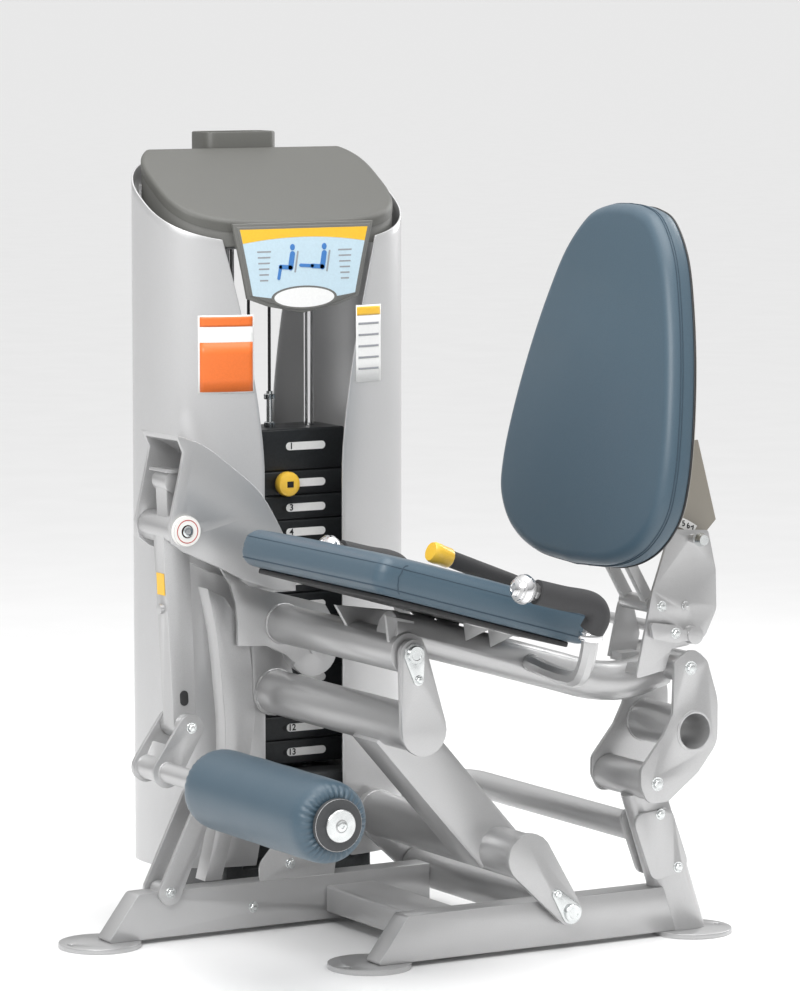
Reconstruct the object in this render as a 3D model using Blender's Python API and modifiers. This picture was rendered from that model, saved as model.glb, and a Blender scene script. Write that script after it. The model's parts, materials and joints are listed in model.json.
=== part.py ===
"""Seated leg extension machine: a rocking seat frame on a fixed base, with a selectorised weight tower.

Metres, +Z up. The user faces -X, and the weight tower stands on the +Y side. Every pivot turns about +Y.
Layout coordinates are (X, Z) pairs in the user's side view; Y is the distance from the user's mid-plane.
"""
from math import cos, pi, radians, sin, tan

import bmesh
import bpy
from mathutils import Matrix, Vector
from mathutils.geometry import convex_hull_2d

# ---- Fits ----
GAP = 0.0003            # between faces that touch
RUNNING = 0.0005        # between a shaft and its bore
SIDE_PLAY = 0.0015      # beside a moving hub or plate

# ---- Pivots, in side view (X, Z) ----
FLOOR_PIVOT = (0.399, 0.073)
SEAT_PIVOT = (0.058, 0.584)
KNEE_PIVOT = (-0.190, 0.783)
REAR_POST_PIVOT = (0.576, 0.304)
REAR_SEAT_PIVOT = (0.650, 0.519)
BACK_PIVOT = (0.592, 0.638)
SHIN_PIVOT = (-0.172, 0.408)
ROLLER_AXIS = (-0.223, 0.328)
PROP_PIVOT = (-0.212, 0.096)

# ---- Base ----
BEAM_WIDTH = 0.050
BEAM_BOTTOM = 0.010
BEAM_TOP = 0.096
FAR_BEAM_Y = 0.412
NEAR_BEAM_Y = -0.020
FAR_BEAM_FRONT = -0.340
NEAR_BEAM_FRONT = -0.006
NEAR_BEAM_REAR = 0.650
MITRE = 0.065
FOOT_RADIUS = 0.078
FOOT_THICKNESS = 0.0097
ANCHOR_HOLE = 0.007
CROSS_TUBE_X = (0.128, 0.238)
CROSS_TUBE_Z = (0.024, 0.076)
FLOOR_TUBE_RADIUS = 0.037
FLOOR_TUBE_END_Y = 0.496
REAR_POST_WIDTH = 0.065
REAR_POST_DEPTH = 0.090
REAR_POST_LINE = ((0.679, 0.013), (0.586, 0.288))
REAR_FOOT = (0.694, -0.030)
REAR_HUB_RADIUS = 0.034
RAIL_RADIUS = 0.027
RAIL_X = 0.580
RAIL_Z = 0.200
RAIL_BEND = 0.070
COLUMN_Y = (0.4376, 0.4775)

# ---- Weight tower ----
TOWER_X = 0.156
TOWER_Y = 0.660
SHROUD_HALF_WIDTH = 0.278
SHROUD_HALF_DEPTH = 0.145
SHROUD_SHEET = 0.004
SHROUD_POWER = 2.6
SHROUD_BOTTOM = 0.100
SHROUD_TOP_MIDDLE = 1.391
CAP_TOP_MIDDLE = 1.424
CAP_SLOPE = 0.60
CAP_SKIRT_BOTTOM = 1.300
CAP_WALL = 0.004
CAP_INSET = 0.026
CAP_POWER = 3.2
CAP_REAR = 0.100
TRAY_WIDTH = 0.160
TRAY_DEPTH = 0.080
TRAY_HEIGHT = 0.100
TRAY_BOTTOM = 1.412
STACK_Y = TOWER_Y - 0.005
STACK_WIDTH = 0.270
STACK_DEPTH = 0.120
PLATE_PITCH = 0.0482
PLATE_COUNT = 13
STACK_BOTTOM = 0.278
HEAD_THICKNESS = 0.082
ROD_SPACING = 0.176
ROD_RADIUS = 0.0095
ROD_CLEARANCE = 0.0012
STEM_RADIUS = 0.0110
SELECTOR_HOLE = 0.0055
CABLE_RADIUS = 0.0030
TOP_PULLEY_RADIUS = 0.045
CROSSHEAD_Z = 1.290
CROSSHEAD_THICKNESS = 0.012

# ---- Swing frame ----
SWING_TUBE_RADIUS = 0.0440
SWING_LOWER = (0.310, 0.183)
SWING_UPPER = (0.081, 0.441)
SWING_NEAR_Y = -0.060
SWING_LOWER_FAR_Y = 0.504
SWING_UPPER_FAR_Y = 0.505
SWING_PLATE = 0.012
STRUT_DEPTH = 0.100
STRUT_Y = (0.045, 0.135)

# ---- Seat frame ----
SEAT_TUBE_RADIUS = 0.0375
SEAT_TUBE_Y = (-0.046, 0.4247)
SPINE_RADIUS = 0.0375
SPINE_RUN = ((0.040, 0.622), (0.110, 0.606), (0.250, 0.566), (0.400, 0.522), (0.480, 0.499), (0.560, 0.493),
             (0.640, 0.512))
BRACKET_Y = (0.355, 0.500)
BRACKET_PLATE = 0.008
BRACKET_FLANGE = 0.006
CAM_PLATE_Y = (0.425, 0.433)
CAM_CENTRE = (0.124, 0.530)
CAM_RADIUS = 0.053
BELT_CAM_RADIUS = 0.048
SEAT_HALF_WIDTH = 0.260
SEAT_LENGTH = 0.475
SEAT_THICKNESS = 0.068
SEAT_TILT = radians(16.0)
SEAT_MIDDLE = (0.103, 0.699)
SEAT_BOARD = 0.010

# ---- Leg arm ----
ARM_Y = (0.391, 0.433)
ARM_WIDTH = 0.053
ARM_HUB_RADIUS = 0.029
PIVOT_CAP_RADIUS = 0.0285
KNEE_AXLE_RADIUS = 0.012
SHIN_HUB_RADIUS = 0.024
SHIN_HUB_Y = (0.376, 0.448)
LINK_PLATE = 0.008
LINK_END_RADIUS = 0.034
ROLLER_SHAFT_RADIUS = 0.019
ROLLER_RADIUS = 0.075
ROLLER_Y = (-0.272, 0.178)
ROLLER_CAP_RADIUS = 0.029

# ---- Rear link ----
REAR_LINK_Y = 0.085
REAR_LINK_TUBE = (0.659, 0.398)
REAR_LINK_TUBE_RADIUS = 0.040
REAR_LINK_TUBE_WALL = 0.006

# ---- Back rest and handles ----
BACK_LEAN = radians(10.0)
BACK_HALF_WIDTH = 0.285
BACK_THICKNESS = 0.056
BACK_SHELL = 0.012
BACK_BOTTOM = (0.425, 0.725)
BACK_HEIGHT = 0.680
# Half the pad's outline, as shares of the half width and of the height.
BACK_SHAPE = ((0.000, 0.000), (0.458, 0.015), (0.771, 0.066), (0.958, 0.154), (1.000, 0.257), (0.967, 0.397),
              (0.875, 0.574), (0.750, 0.735), (0.604, 0.868), (0.396, 0.963), (0.1875, 0.994), (0.000, 1.000))
BACK_PLATE_Y = 0.070
SECTOR_Y = -0.0445
SECTOR_HOLE_CIRCLE = 0.1423
SECTOR_STEP = 5.0
PIN_ANGLE = 61.5
PIN_RADIUS = 0.0040
HANDLE_Y = 0.350
HANDLE_KNOB = (0.123, 0.730)
HANDLE_TUBE_RADIUS = 0.0155
GRIP_RADIUS = 0.0225
LEVER_Y = 0.250
LEVER_PIVOT = (0.656, 0.581)
LEVER_CAP = (0.290, 0.724)
LEVER_RADIUS = 0.0125
LEVER_GRIP_RADIUS = 0.0165

# ---- Colours: linear red, green, blue, then roughness and metallic ----
SILVER = (0.56, 0.56, 0.57, 0.38, 0.55)
CAP_GREY = (0.16, 0.16, 0.145, 0.45, 0.0)
STACK_BLACK = (0.018, 0.020, 0.021, 0.45, 0.3)
CHROME = (0.75, 0.75, 0.76, 0.12, 1.0)
BLUE_VINYL = (0.075, 0.125, 0.165, 0.45, 0.0)
BLACK_FOAM = (0.030, 0.030, 0.032, 0.80, 0.0)
TAUPE = (0.27, 0.25, 0.215, 0.45, 0.0)
YELLOW = (0.80, 0.55, 0.08, 0.40, 0.0)
DARK_STEEL = (0.045, 0.048, 0.050, 0.45, 0.4)

for old_object in list(bpy.data.objects):
    bpy.data.objects.remove(old_object, do_unlink=True)

parts = bpy.data.collections.new("leg_extension_machine")
tools = bpy.data.collections.new("cutters")
bpy.context.scene.collection.children.link(parts)
bpy.context.scene.collection.children.link(tools)


# ---- General helpers ----
def material(name, look):
    """A Principled material from a colour, a roughness and a metallic value."""
    made = bpy.data.materials.get(name)
    if made:
        return made
    made = bpy.data.materials.new(name)
    made.use_nodes = True
    shader = made.node_tree.nodes["Principled BSDF"]
    shader.inputs["Base Color"].default_value = (*look[:3], 1.0)
    shader.inputs["Roughness"].default_value = look[3]
    shader.inputs["Metallic"].default_value = look[4]
    return made


def empty(name, point, parent=None, y=0.0):
    """A joint's frame: an empty on the joint's axis, measured from its parent's axis."""
    frame = bpy.data.objects.new(name, None)
    frame.empty_display_size = 0.05
    frame["machine_place"] = (point[0], y, point[1])
    frame.location = Vector(frame["machine_place"])
    if parent:
        frame.parent = parent
        frame.location -= Vector(parent["machine_place"])
    tools.objects.link(frame)
    return frame


def gather(made, collection):
    """Moves an object into one collection."""
    for old in list(made.users_collection):
        old.objects.unlink(made)
    collection.objects.link(made)


def finish(made, name, look_name, look, parent):
    """Names a piece, shades it, and hangs it on its joint's frame."""
    made.name = name
    made.data.name = name
    made.data.materials.clear()
    made.data.materials.append(material(look_name, look))
    made.data.shade_smooth()
    made.data.set_sharp_from_angle(angle=radians(32))
    made.parent = parent
    made.location -= Vector(parent["machine_place"])
    gather(made, parts)
    return made


def boolean(target, other, operation):
    """Adds or cuts another solid, which stays live as a tool in the cutters' collection."""
    modifier = target.modifiers.new(operation.lower(), "BOOLEAN")
    modifier.operation = operation
    modifier.solver = "EXACT"
    modifier.object = other
    gather(other, tools)
    other.parent = root
    other.hide_render = True
    other.display_type = "WIRE"
    return target


def add(target, *others):
    for other in others:
        boolean(target, other, "UNION")
    return target


def cut(target, *others):
    for other in others:
        boolean(target, other, "DIFFERENCE")
    return target


# ---- Shape helpers ----
def box(low, high, edge=0.0):
    """A box between two corners, its edges rounded by one bevel segment."""
    low, high = Vector(low), Vector(high)
    bpy.ops.mesh.primitive_cube_add(size=1.0, location=(low + high) / 2)
    made = bpy.context.object
    made.data.transform(Matrix.Diagonal((*(high - low), 1.0)))
    if edge:
        bevel = made.modifiers.new("edges", "BEVEL")
        bevel.width = edge
        bevel.segments = 1
    return made


def bar(radius, start, end, sides=32):
    """A round bar or tube between two points."""
    start, end = Vector(start), Vector(end)
    along = end - start
    middle = (start + end) / 2
    bpy.ops.mesh.primitive_cylinder_add(vertices=sides, radius=radius, depth=along.length, location=middle)
    made = bpy.context.object
    made.rotation_euler = along.to_track_quat("Z", "Y").to_euler()
    return made


def cross_bar(radius, point, y_start, y_end, sides=32):
    """A bar along Y through a side-view point."""
    return bar(radius, (point[0], y_start, point[1]), (point[0], y_end, point[1]), sides)


def turned(profile, base, direction, sides=32):
    """A turned piece: (radius, height) points, from the top of the outside down, about a line from base."""
    mesh = bpy.data.meshes.new("turned")
    edges = [(i, i + 1) for i in range(len(profile) - 1)]
    if profile[0][0] > 0:
        edges.append((len(profile) - 1, 0))
    mesh.from_pydata([(radius, 0, height) for radius, height in profile], edges, [])
    made = bpy.data.objects.new("turned", mesh)
    made.location = base
    made.rotation_euler = Vector(direction).to_track_quat("Z", "Y").to_euler()
    screw = made.modifiers.new("turn", "SCREW")
    screw.steps = sides
    screw.render_steps = sides
    screw.use_merge_vertices = True
    screw.merge_threshold = 0.0001
    parts.objects.link(made)
    return made


def curve_to_mesh(curve_object):
    """The curve's evaluated solid, its caps welded on, in the curve's place."""
    parts.objects.link(curve_object)
    bpy.context.view_layer.update()
    evaluated = curve_object.evaluated_get(bpy.context.evaluated_depsgraph_get())
    mesh = bpy.data.meshes.new_from_object(evaluated)
    shape = bmesh.new()
    shape.from_mesh(mesh)
    bmesh.ops.remove_doubles(shape, verts=shape.verts, dist=0.00001)
    bmesh.ops.recalc_face_normals(shape, faces=shape.faces)
    shape.to_mesh(mesh)
    shape.free()
    made = bpy.data.objects.new("solid", mesh)
    made.matrix_world = curve_object.matrix_world
    parts.objects.link(made)
    bpy.data.objects.remove(curve_object, do_unlink=True)
    return made


def plate(outline, y_start, y_end, holes=()):
    """A flat plate: a side-view outline of (X, Z) points, from one Y to another, with round holes."""
    curve = bpy.data.curves.new("outline", "CURVE")
    curve.dimensions = "2D"
    curve.fill_mode = "BOTH"
    curve.extrude = abs(y_end - y_start) / 2
    loops = [outline] + [circle(centre, radius, 16) for centre, radius in holes]
    for loop in loops:
        spline = curve.splines.new("POLY")
        spline.points.add(len(loop) - 1)
        for point, (x, z) in zip(spline.points, loop):
            point.co = (x, z, 0, 1)
        spline.use_cyclic_u = True
    holder = bpy.data.objects.new("outline", curve)
    holder.location = (0, (y_start + y_end) / 2, 0)
    holder.rotation_euler = (pi / 2, 0, 0)
    return curve_to_mesh(holder)


def tube(radius, points, sides=16):
    """A bent tube along a smooth run of points."""
    curve = bpy.data.curves.new("run", "CURVE")
    curve.dimensions = "3D"
    curve.bevel_depth = radius
    curve.bevel_resolution = sides // 4 - 1
    curve.use_fill_caps = True
    spline = curve.splines.new("POLY")
    spline.points.add(len(points) - 1)
    for spot, point in zip(spline.points, points):
        spot.co = (*point, 1)
    return curve_to_mesh(bpy.data.objects.new("run", curve))


def circle(centre, radius, sides=24):
    turn = 2 * pi / sides
    return [(centre[0] + radius * cos(i * turn), centre[1] + radius * sin(i * turn)) for i in range(sides)]


def lobes(*discs):
    """The outline that wraps round discs, each (centre, radius)."""
    points = [point for centre, radius in discs for point in circle(centre, radius, 20)]
    return [points[i] for i in convex_hull_2d([Vector(point) for point in points])]


def rounded(corners, steps=4):
    """An outline through (X, Z, radius) corners, each turned by an arc that is tangent to both sides."""
    outline = []
    count = len(corners)
    for i, (x, z, radius) in enumerate(corners):
        here = Vector((x, z))
        if radius == 0:
            outline.append((x, z))
            continue
        before = (Vector(corners[i - 1][:2]) - here).normalized()
        after = (Vector(corners[(i + 1) % count][:2]) - here).normalized()
        half = before.angle(after) / 2
        reach = radius / tan(half)
        middle = here + (before + after).normalized() * radius / sin(half)
        first = here + before * reach - middle
        last = here + after * reach - middle
        for step in range(steps + 1):
            outline.append(tuple(middle + radius * first.slerp(last, step / steps)))
    return outline


def arc(centre, radius, start, end, steps):
    """Side-view points along an arc, in degrees."""
    turns = [radians(start + (end - start) * i / steps) for i in range(steps + 1)]
    return [(centre[0] + radius * cos(turn), centre[1] + radius * sin(turn)) for turn in turns]


def smooth_run(points, steps=4):
    """Points along a Catmull-Rom curve through the given points."""
    spots = [Vector(point) for point in points]
    spots = [2 * spots[0] - spots[1], *spots, 2 * spots[-1] - spots[-2]]
    run = []
    for i in range(1, len(spots) - 2):
        for step in range(steps):
            t = step / steps
            a, b, c, d = spots[i - 1:i + 3]
            square = (2 * a - 5 * b + 4 * c - d) * t**2
            cube = (3 * b - a - 3 * c + d) * t**3
            run.append(0.5 * (2 * b + (c - a) * t + square + cube))
    run.append(spots[-2])
    return [tuple(point) for point in run]


def bolt_head(point, y_face, radius=0.0075, height=0.006, inward=1):
    """A hexagon head and washer standing on a face; inward is +1 where the face looks along -Y."""
    sunk = y_face + 0.002 * inward
    washer = cross_bar(radius * 1.35, point, y_face - 0.0016 * inward, sunk, 14)
    head = cross_bar(radius, point, y_face - height * inward, sunk + 0.0005 * inward, 6)
    return [washer, head]


# ---- Joint frames ----
root = empty("machine_origin", (0, 0))
swing = empty("swing_axis", FLOOR_PIVOT, root)
seat = empty("seat_axis", SEAT_PIVOT, swing)
knee = empty("knee_axis", KNEE_PIVOT, seat)
shin = empty("shin_axis", SHIN_PIVOT, knee)
roller_frame = empty("roller_axis", ROLLER_AXIS, shin)
back = empty("back_axis", BACK_PIVOT, seat)
lever_frame = empty("lever_axis", LEVER_PIVOT, seat)
rear = empty("rear_link_axis", REAR_POST_PIVOT, root)
prop_frame = empty("prop_axis", PROP_PIVOT, root)
lift = empty("lifted_weights", (TOWER_X, STACK_BOTTOM), root, y=STACK_Y)


# ---- Base ----
def base_frame():
    """Two beams on the floor, the flat cross tube and the round pivot tube between and across them."""
    half = BEAM_WIDTH / 2
    tube_clear = FLOOR_TUBE_RADIUS + GAP
    far = rounded([(FAR_BEAM_FRONT, BEAM_BOTTOM, 0.004), (FLOOR_PIVOT[0] - tube_clear, BEAM_BOTTOM, 0),
                   (FLOOR_PIVOT[0] - tube_clear, BEAM_TOP, 0), (FAR_BEAM_FRONT + MITRE, BEAM_TOP, 0.012)])
    beam = plate(far, FAR_BEAM_Y - half, FAR_BEAM_Y + half)
    add(beam, *bolt_head((-0.030, 0.049), FAR_BEAM_Y - half))
    lug = plate(lobes((PROP_PIVOT, 0.016), ((PROP_PIVOT[0], BEAM_TOP - 0.01), 0.016)),
                FAR_BEAM_Y - 0.020, FAR_BEAM_Y + 0.020)
    add(beam, lug)
    guard_outline = rounded([(-0.012, BEAM_TOP - 0.004, 0), (0.150, BEAM_TOP - 0.004, 0),
                             (0.155, 0.125, 0.004),
                             (0.020, 0.166, 0.020), (-0.014, 0.130, 0.030)])
    guard_y = FAR_BEAM_Y - 0.020
    add(beam, plate(guard_outline, guard_y, guard_y + 0.004))
    add(beam, *bolt_head((0.054, 0.124), guard_y))
    finish(beam, "beam_far", "silver_paint", SILVER, root)

    near = rounded([(NEAR_BEAM_FRONT, BEAM_BOTTOM, 0.004), (REAR_POST_LINE[0][0], BEAM_BOTTOM, 0),
                    (NEAR_BEAM_REAR, BEAM_TOP, 0), (NEAR_BEAM_FRONT + MITRE, BEAM_TOP, 0.012)])
    beam = cut(plate(near, NEAR_BEAM_Y - half, NEAR_BEAM_Y + half), rear_post_tube(GAP))
    finish(beam, "beam_near", "silver_paint", SILVER, root)

    between = (NEAR_BEAM_Y + half + GAP, FAR_BEAM_Y - half - GAP)
    cross = box((CROSS_TUBE_X[0], between[0], CROSS_TUBE_Z[0]),
                (CROSS_TUBE_X[1], between[1], CROSS_TUBE_Z[1]), 0.004)
    finish(cross, "cross_tube", "silver_paint", SILVER, root)
    floor_tube = cross_bar(FLOOR_TUBE_RADIUS, FLOOR_PIVOT, between[0], FLOOR_TUBE_END_Y, 28)
    finish(floor_tube, "floor_pivot_tube", "silver_paint", SILVER, root)


def feet():
    """Round floor plates, each with an anchor hole clear of the tube that stands on it."""
    places = {"foot_far": (-0.343, 0.415, pi), "foot_near": (0.0, -0.004, pi * 1.1),
              "foot_rear": (*REAR_FOOT, 0.0)}
    for name, (x, y, turn) in places.items():
        disc = bar(FOOT_RADIUS, (x, y, 0), (x, y, FOOT_THICKNESS), 28)
        hole_x = x + 0.060 * cos(turn)
        hole_y = y + 0.060 * sin(turn)
        hole = bar(ANCHOR_HOLE, (hole_x, hole_y, -0.01), (hole_x, hole_y, 0.03), 16)
        finish(cut(disc, hole), name, "silver_paint", SILVER, root)


def rear_post_tube(clear=0.0):
    """The leaning oval tube under the hub, or the room that a piece fitted to it leaves."""
    low, high = (Vector((x, NEAR_BEAM_Y, z)) for x, z in REAR_POST_LINE)
    along = (high - low).normalized()
    oval = bar(1.0, low - along * 0.060, high + along * clear, 32)
    oval.data.transform(Matrix.Diagonal((REAR_POST_WIDTH / 2 + clear, REAR_POST_DEPTH / 2 + clear, 1.0, 1.0)))
    below = box((low.x - 0.20, -0.20, -0.20), (low.x + 0.20, 0.20, BEAM_BOTTOM - clear), 0.0)
    return cut(oval, below)


def rear_post():
    """The oval post under the rear link's lower hub, and its bolted splice plates."""
    y_low = NEAR_BEAM_Y - REAR_POST_WIDTH / 2
    y_high = NEAR_BEAM_Y + REAR_POST_WIDTH / 2
    post = rear_post_tube()
    hub_end = REAR_LINK_Y - LINK_PLATE / 2 - SIDE_PLAY
    hub = cross_bar(REAR_HUB_RADIUS, REAR_POST_PIVOT, -hub_end, hub_end, 28)
    add(post, hub)
    for face, side, shift in ((y_low, -1, 0.0), (y_high, 1, 0.012)):
        corners = [(0.541, 0.240), (0.629, 0.2515), (0.673, 0.130), (0.589, 0.111)]
        outline = rounded([(x + shift, z, 0.020) for x, z in corners], 4)
        add(post, plate(outline, face - side * 0.005, face + side * 0.004))
        for spot in ((0.605, 0.239), (0.6455, 0.134)):
            add(post, *bolt_head(spot, face + side * 0.004, inward=-side))
    finish(post, "rear_post", "silver_paint", SILVER, root)


def rear_rail():
    """The rail from the rear post back along Y, then bent across into the tower's base."""
    start = NEAR_BEAM_Y + REAR_POST_WIDTH / 2 + 0.004 + GAP
    bend_middle = (RAIL_X + 0.027 - RAIL_BEND, TOWER_Y - RAIL_BEND)
    points = [(RAIL_X + 0.027, start, RAIL_Z)]
    for step in range(7):
        turn = step / 6 * pi / 2
        points.append((bend_middle[0] + RAIL_BEND * cos(turn), bend_middle[1] + RAIL_BEND * sin(turn),
                       RAIL_Z))
    points.append((TOWER_X + STACK_WIDTH / 2 + 0.030, TOWER_Y, RAIL_Z))
    finish(tube(RAIL_RADIUS, points, 32), "rear_rail", "silver_paint", SILVER, root)


def front_column():
    """The bowed tube that stands beside the far beam and rises inside the knee bracket."""
    left = [(-0.107, 0.0973), (-0.082, 0.200), (-0.061, 0.351), (-0.067, 0.458), (-0.079, 0.570),
            (-0.099, 0.660)]
    right = [(-0.060, 0.640), (-0.008, 0.542), (-0.002, 0.451), (0.004, 0.410), (-0.009, 0.331),
             (-0.046, 0.184),
             (-0.071, 0.0973)]
    left_run = smooth_run(left, 2)
    right_run = smooth_run(right, 2)
    outline = [tuple(point) for point in left_run] + [tuple(point) for point in right_run]
    finish(plate(outline, *COLUMN_Y), "front_column", "silver_paint", SILVER, root)


# ---- Weight tower ----
def shroud_y(x_offset, half_width=SHROUD_HALF_WIDTH, half_depth=SHROUD_HALF_DEPTH):
    """How far in front of the tower's middle its rounded plan lies, at a distance from its middle plane."""
    return half_depth * max(0.0, 1 - (abs(x_offset) / half_width) ** SHROUD_POWER) ** (1 / SHROUD_POWER)


def slot_half_width(z):
    """Half of the gap between the two shrouds: it opens toward the top and toward the floor."""
    middle = 0.086
    if z > 0.90:
        return middle + 0.063 * ((z - 0.90) / 0.41) ** 1.5
    if z < 0.30:
        return middle + 0.020 * ((0.30 - z) / 0.20) ** 2
    return middle


def shroud_top(y):
    return SHROUD_TOP_MIDDLE + CAP_SLOPE * (y - TOWER_Y)


def shrouds():
    """The two bent sheets round the weight stack, open at the front and back, cut on a slope at the top."""
    rows, columns = 8, 18
    for name, side in (("shroud_front_side", -1), ("shroud_rear_side", 1)):
        shape = bmesh.new()
        bmesh.ops.create_grid(shape, x_segments=columns, y_segments=rows, size=1.0)
        for vertex in shape.verts:
            across, up = (vertex.co.x + 1) / 2, (vertex.co.y + 1) / 2
            z = SHROUD_BOTTOM + up * (SHROUD_TOP_MIDDLE - SHROUD_BOTTOM)
            gap = slot_half_width(z)
            first = plan_angle(gap)
            turn = first + across * (2 * pi - 2 * first - pi)
            x_offset, y_offset = plan_point(turn)
            y = TOWER_Y + y_offset
            z += up ** 2 * (shroud_top(y) - SHROUD_TOP_MIDDLE)
            vertex.co = (TOWER_X + side * x_offset, y, z)
        if side < 0:
            bmesh.ops.reverse_faces(shape, faces=shape.faces)
        mesh = bpy.data.meshes.new(name)
        shape.to_mesh(mesh)
        shape.free()
        sheet = bpy.data.objects.new(name, mesh)
        parts.objects.link(sheet)
        wall = sheet.modifiers.new("sheet", "SOLIDIFY")
        wall.thickness = SHROUD_SHEET
        wall.offset = -1.0
        if side > 0:
            cut(sheet, cross_hole_for_rail())
        finish(sheet, name, "silver_panel", SILVER, root)


def plan_angle(gap):
    """The plan angle, from the front's middle, at which the rounded plan reaches a half width of gap."""
    share = (gap / SHROUD_HALF_WIDTH) ** (SHROUD_POWER / 2)
    return Vector((1.0, 0.0)).angle(Vector(((1 - share**2) ** 0.5, share)))


def plan_point(turn):
    """A point on the rounded plan: turn 0 is the front's middle, and half a turn is the back's."""
    exponent = 2 / SHROUD_POWER
    x_offset = SHROUD_HALF_WIDTH * abs(sin(turn)) ** exponent
    y_offset = -SHROUD_HALF_DEPTH * abs(cos(turn)) ** exponent * (1 if cos(turn) > 0 else -1)
    return x_offset, y_offset


def cross_hole_for_rail():
    return bar(RAIL_RADIUS + 0.004, (TOWER_X + 0.05, TOWER_Y, RAIL_Z), (TOWER_X + 0.45, TOWER_Y, RAIL_Z), 32)


def cap():
    """The moulded top: a sloping lid with a skirt inside the shrouds, and a bottle tray behind it."""
    half_width = SHROUD_HALF_WIDTH - CAP_INSET
    half_depth = SHROUD_HALF_DEPTH - CAP_INSET / 2
    exponent = 2 / CAP_POWER
    shape = bmesh.new()
    bmesh.ops.create_circle(shape, cap_ends=True, segments=56, radius=1.0)
    for vertex in shape.verts:
        x, y = vertex.co.x, vertex.co.y
        x_offset = half_width * abs(x) ** exponent * (1 if x > 0 else -1)
        y_offset = min(CAP_REAR, half_depth * abs(y) ** exponent * (1 if y > 0 else -1))
        vertex.co = (TOWER_X + x_offset, TOWER_Y + y_offset, CAP_TOP_MIDDLE + CAP_SLOPE * y_offset)
    skirt = bmesh.ops.extrude_edge_only(shape, edges=[edge for edge in shape.edges])
    for vertex in [item for item in skirt["geom"] if isinstance(item, bmesh.types.BMVert)]:
        vertex.co.z = CAP_SKIRT_BOTTOM
    bmesh.ops.recalc_face_normals(shape, faces=shape.faces)
    mesh = bpy.data.meshes.new("cap")
    shape.to_mesh(mesh)
    shape.free()
    lid = bpy.data.objects.new("cap", mesh)
    parts.objects.link(lid)
    wall = lid.modifiers.new("wall", "SOLIDIFY")
    wall.thickness = CAP_WALL
    wall.offset = -1.0
    back_y = TOWER_Y + CAP_REAR
    tray = box((TOWER_X - TRAY_WIDTH / 2, back_y - 0.002, TRAY_BOTTOM),
               (TOWER_X + TRAY_WIDTH / 2, back_y + TRAY_DEPTH, TRAY_BOTTOM + TRAY_HEIGHT), 0.006)
    well = box((TOWER_X - TRAY_WIDTH / 2 + 0.006, back_y + 0.006, TRAY_BOTTOM + 0.020),
               (TOWER_X + TRAY_WIDTH / 2 - 0.006, back_y + TRAY_DEPTH - 0.006, 1.600))
    cut(add(lid, tray), well)
    finish(lid, "tower_cap", "cap_plastic", CAP_GREY, root)


def fascia():
    """The grey shield between the shrouds' top ends, with a raised plate for the printed placard."""
    def shield(clear, top, bottom, tip):
        side = [(slot_half_width(z) - clear, z) for z in (top, top - 0.05, top - 0.10, bottom)]
        bow = [(0.075, bottom - (bottom - tip) * 0.55), (0.0, tip), (-0.075, bottom - (bottom - tip) * 0.55)]
        points = side + bow + [(-x, z) for x, z in reversed(side)]
        return [(TOWER_X + x, z) for x, z in points]

    face = TOWER_Y - SHROUD_HALF_DEPTH + 0.002
    board = plate(shield(0.003, 1.3440, 1.200, 1.170), face, face + 0.008)
    add(board, plate(shield(0.009, 1.3380, 1.206, 1.178), face - 0.002, face + 0.001))
    finish(board, "fascia", "cap_plastic", CAP_GREY, root)


def rod_places():
    return [TOWER_X - ROD_SPACING / 2, TOWER_X + ROD_SPACING / 2]


def weight_plate(name, bottom, thickness, parent):
    """One plate: two rod holes, a stem hole and a selector hole from the front."""
    half_w, half_d = STACK_WIDTH / 2, STACK_DEPTH / 2
    body = box((TOWER_X - half_w, STACK_Y - half_d, bottom), (TOWER_X + half_w, STACK_Y + half_d,
                                                              bottom + thickness),
               0.003)
    for x in rod_places():
        cut(body, bar(ROD_RADIUS + ROD_CLEARANCE, (x, STACK_Y, bottom - 0.01),
                      (x, STACK_Y, bottom + thickness + 0.01), 16))
    if parent is not lift or thickness < HEAD_THICKNESS:
        stem_hole = bar(STEM_RADIUS + ROD_CLEARANCE, (TOWER_X, STACK_Y, bottom - 0.01),
                        (TOWER_X, STACK_Y, bottom + thickness + 0.01), 16)
        cut(body, stem_hole)
    return finish(body, name, "stack_paint", STACK_BLACK, parent)


def plate_bottom(number):
    """The underside of a plate, counted from 1 at the top."""
    return STACK_BOTTOM + (PLATE_COUNT - number) * PLATE_PITCH


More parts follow.
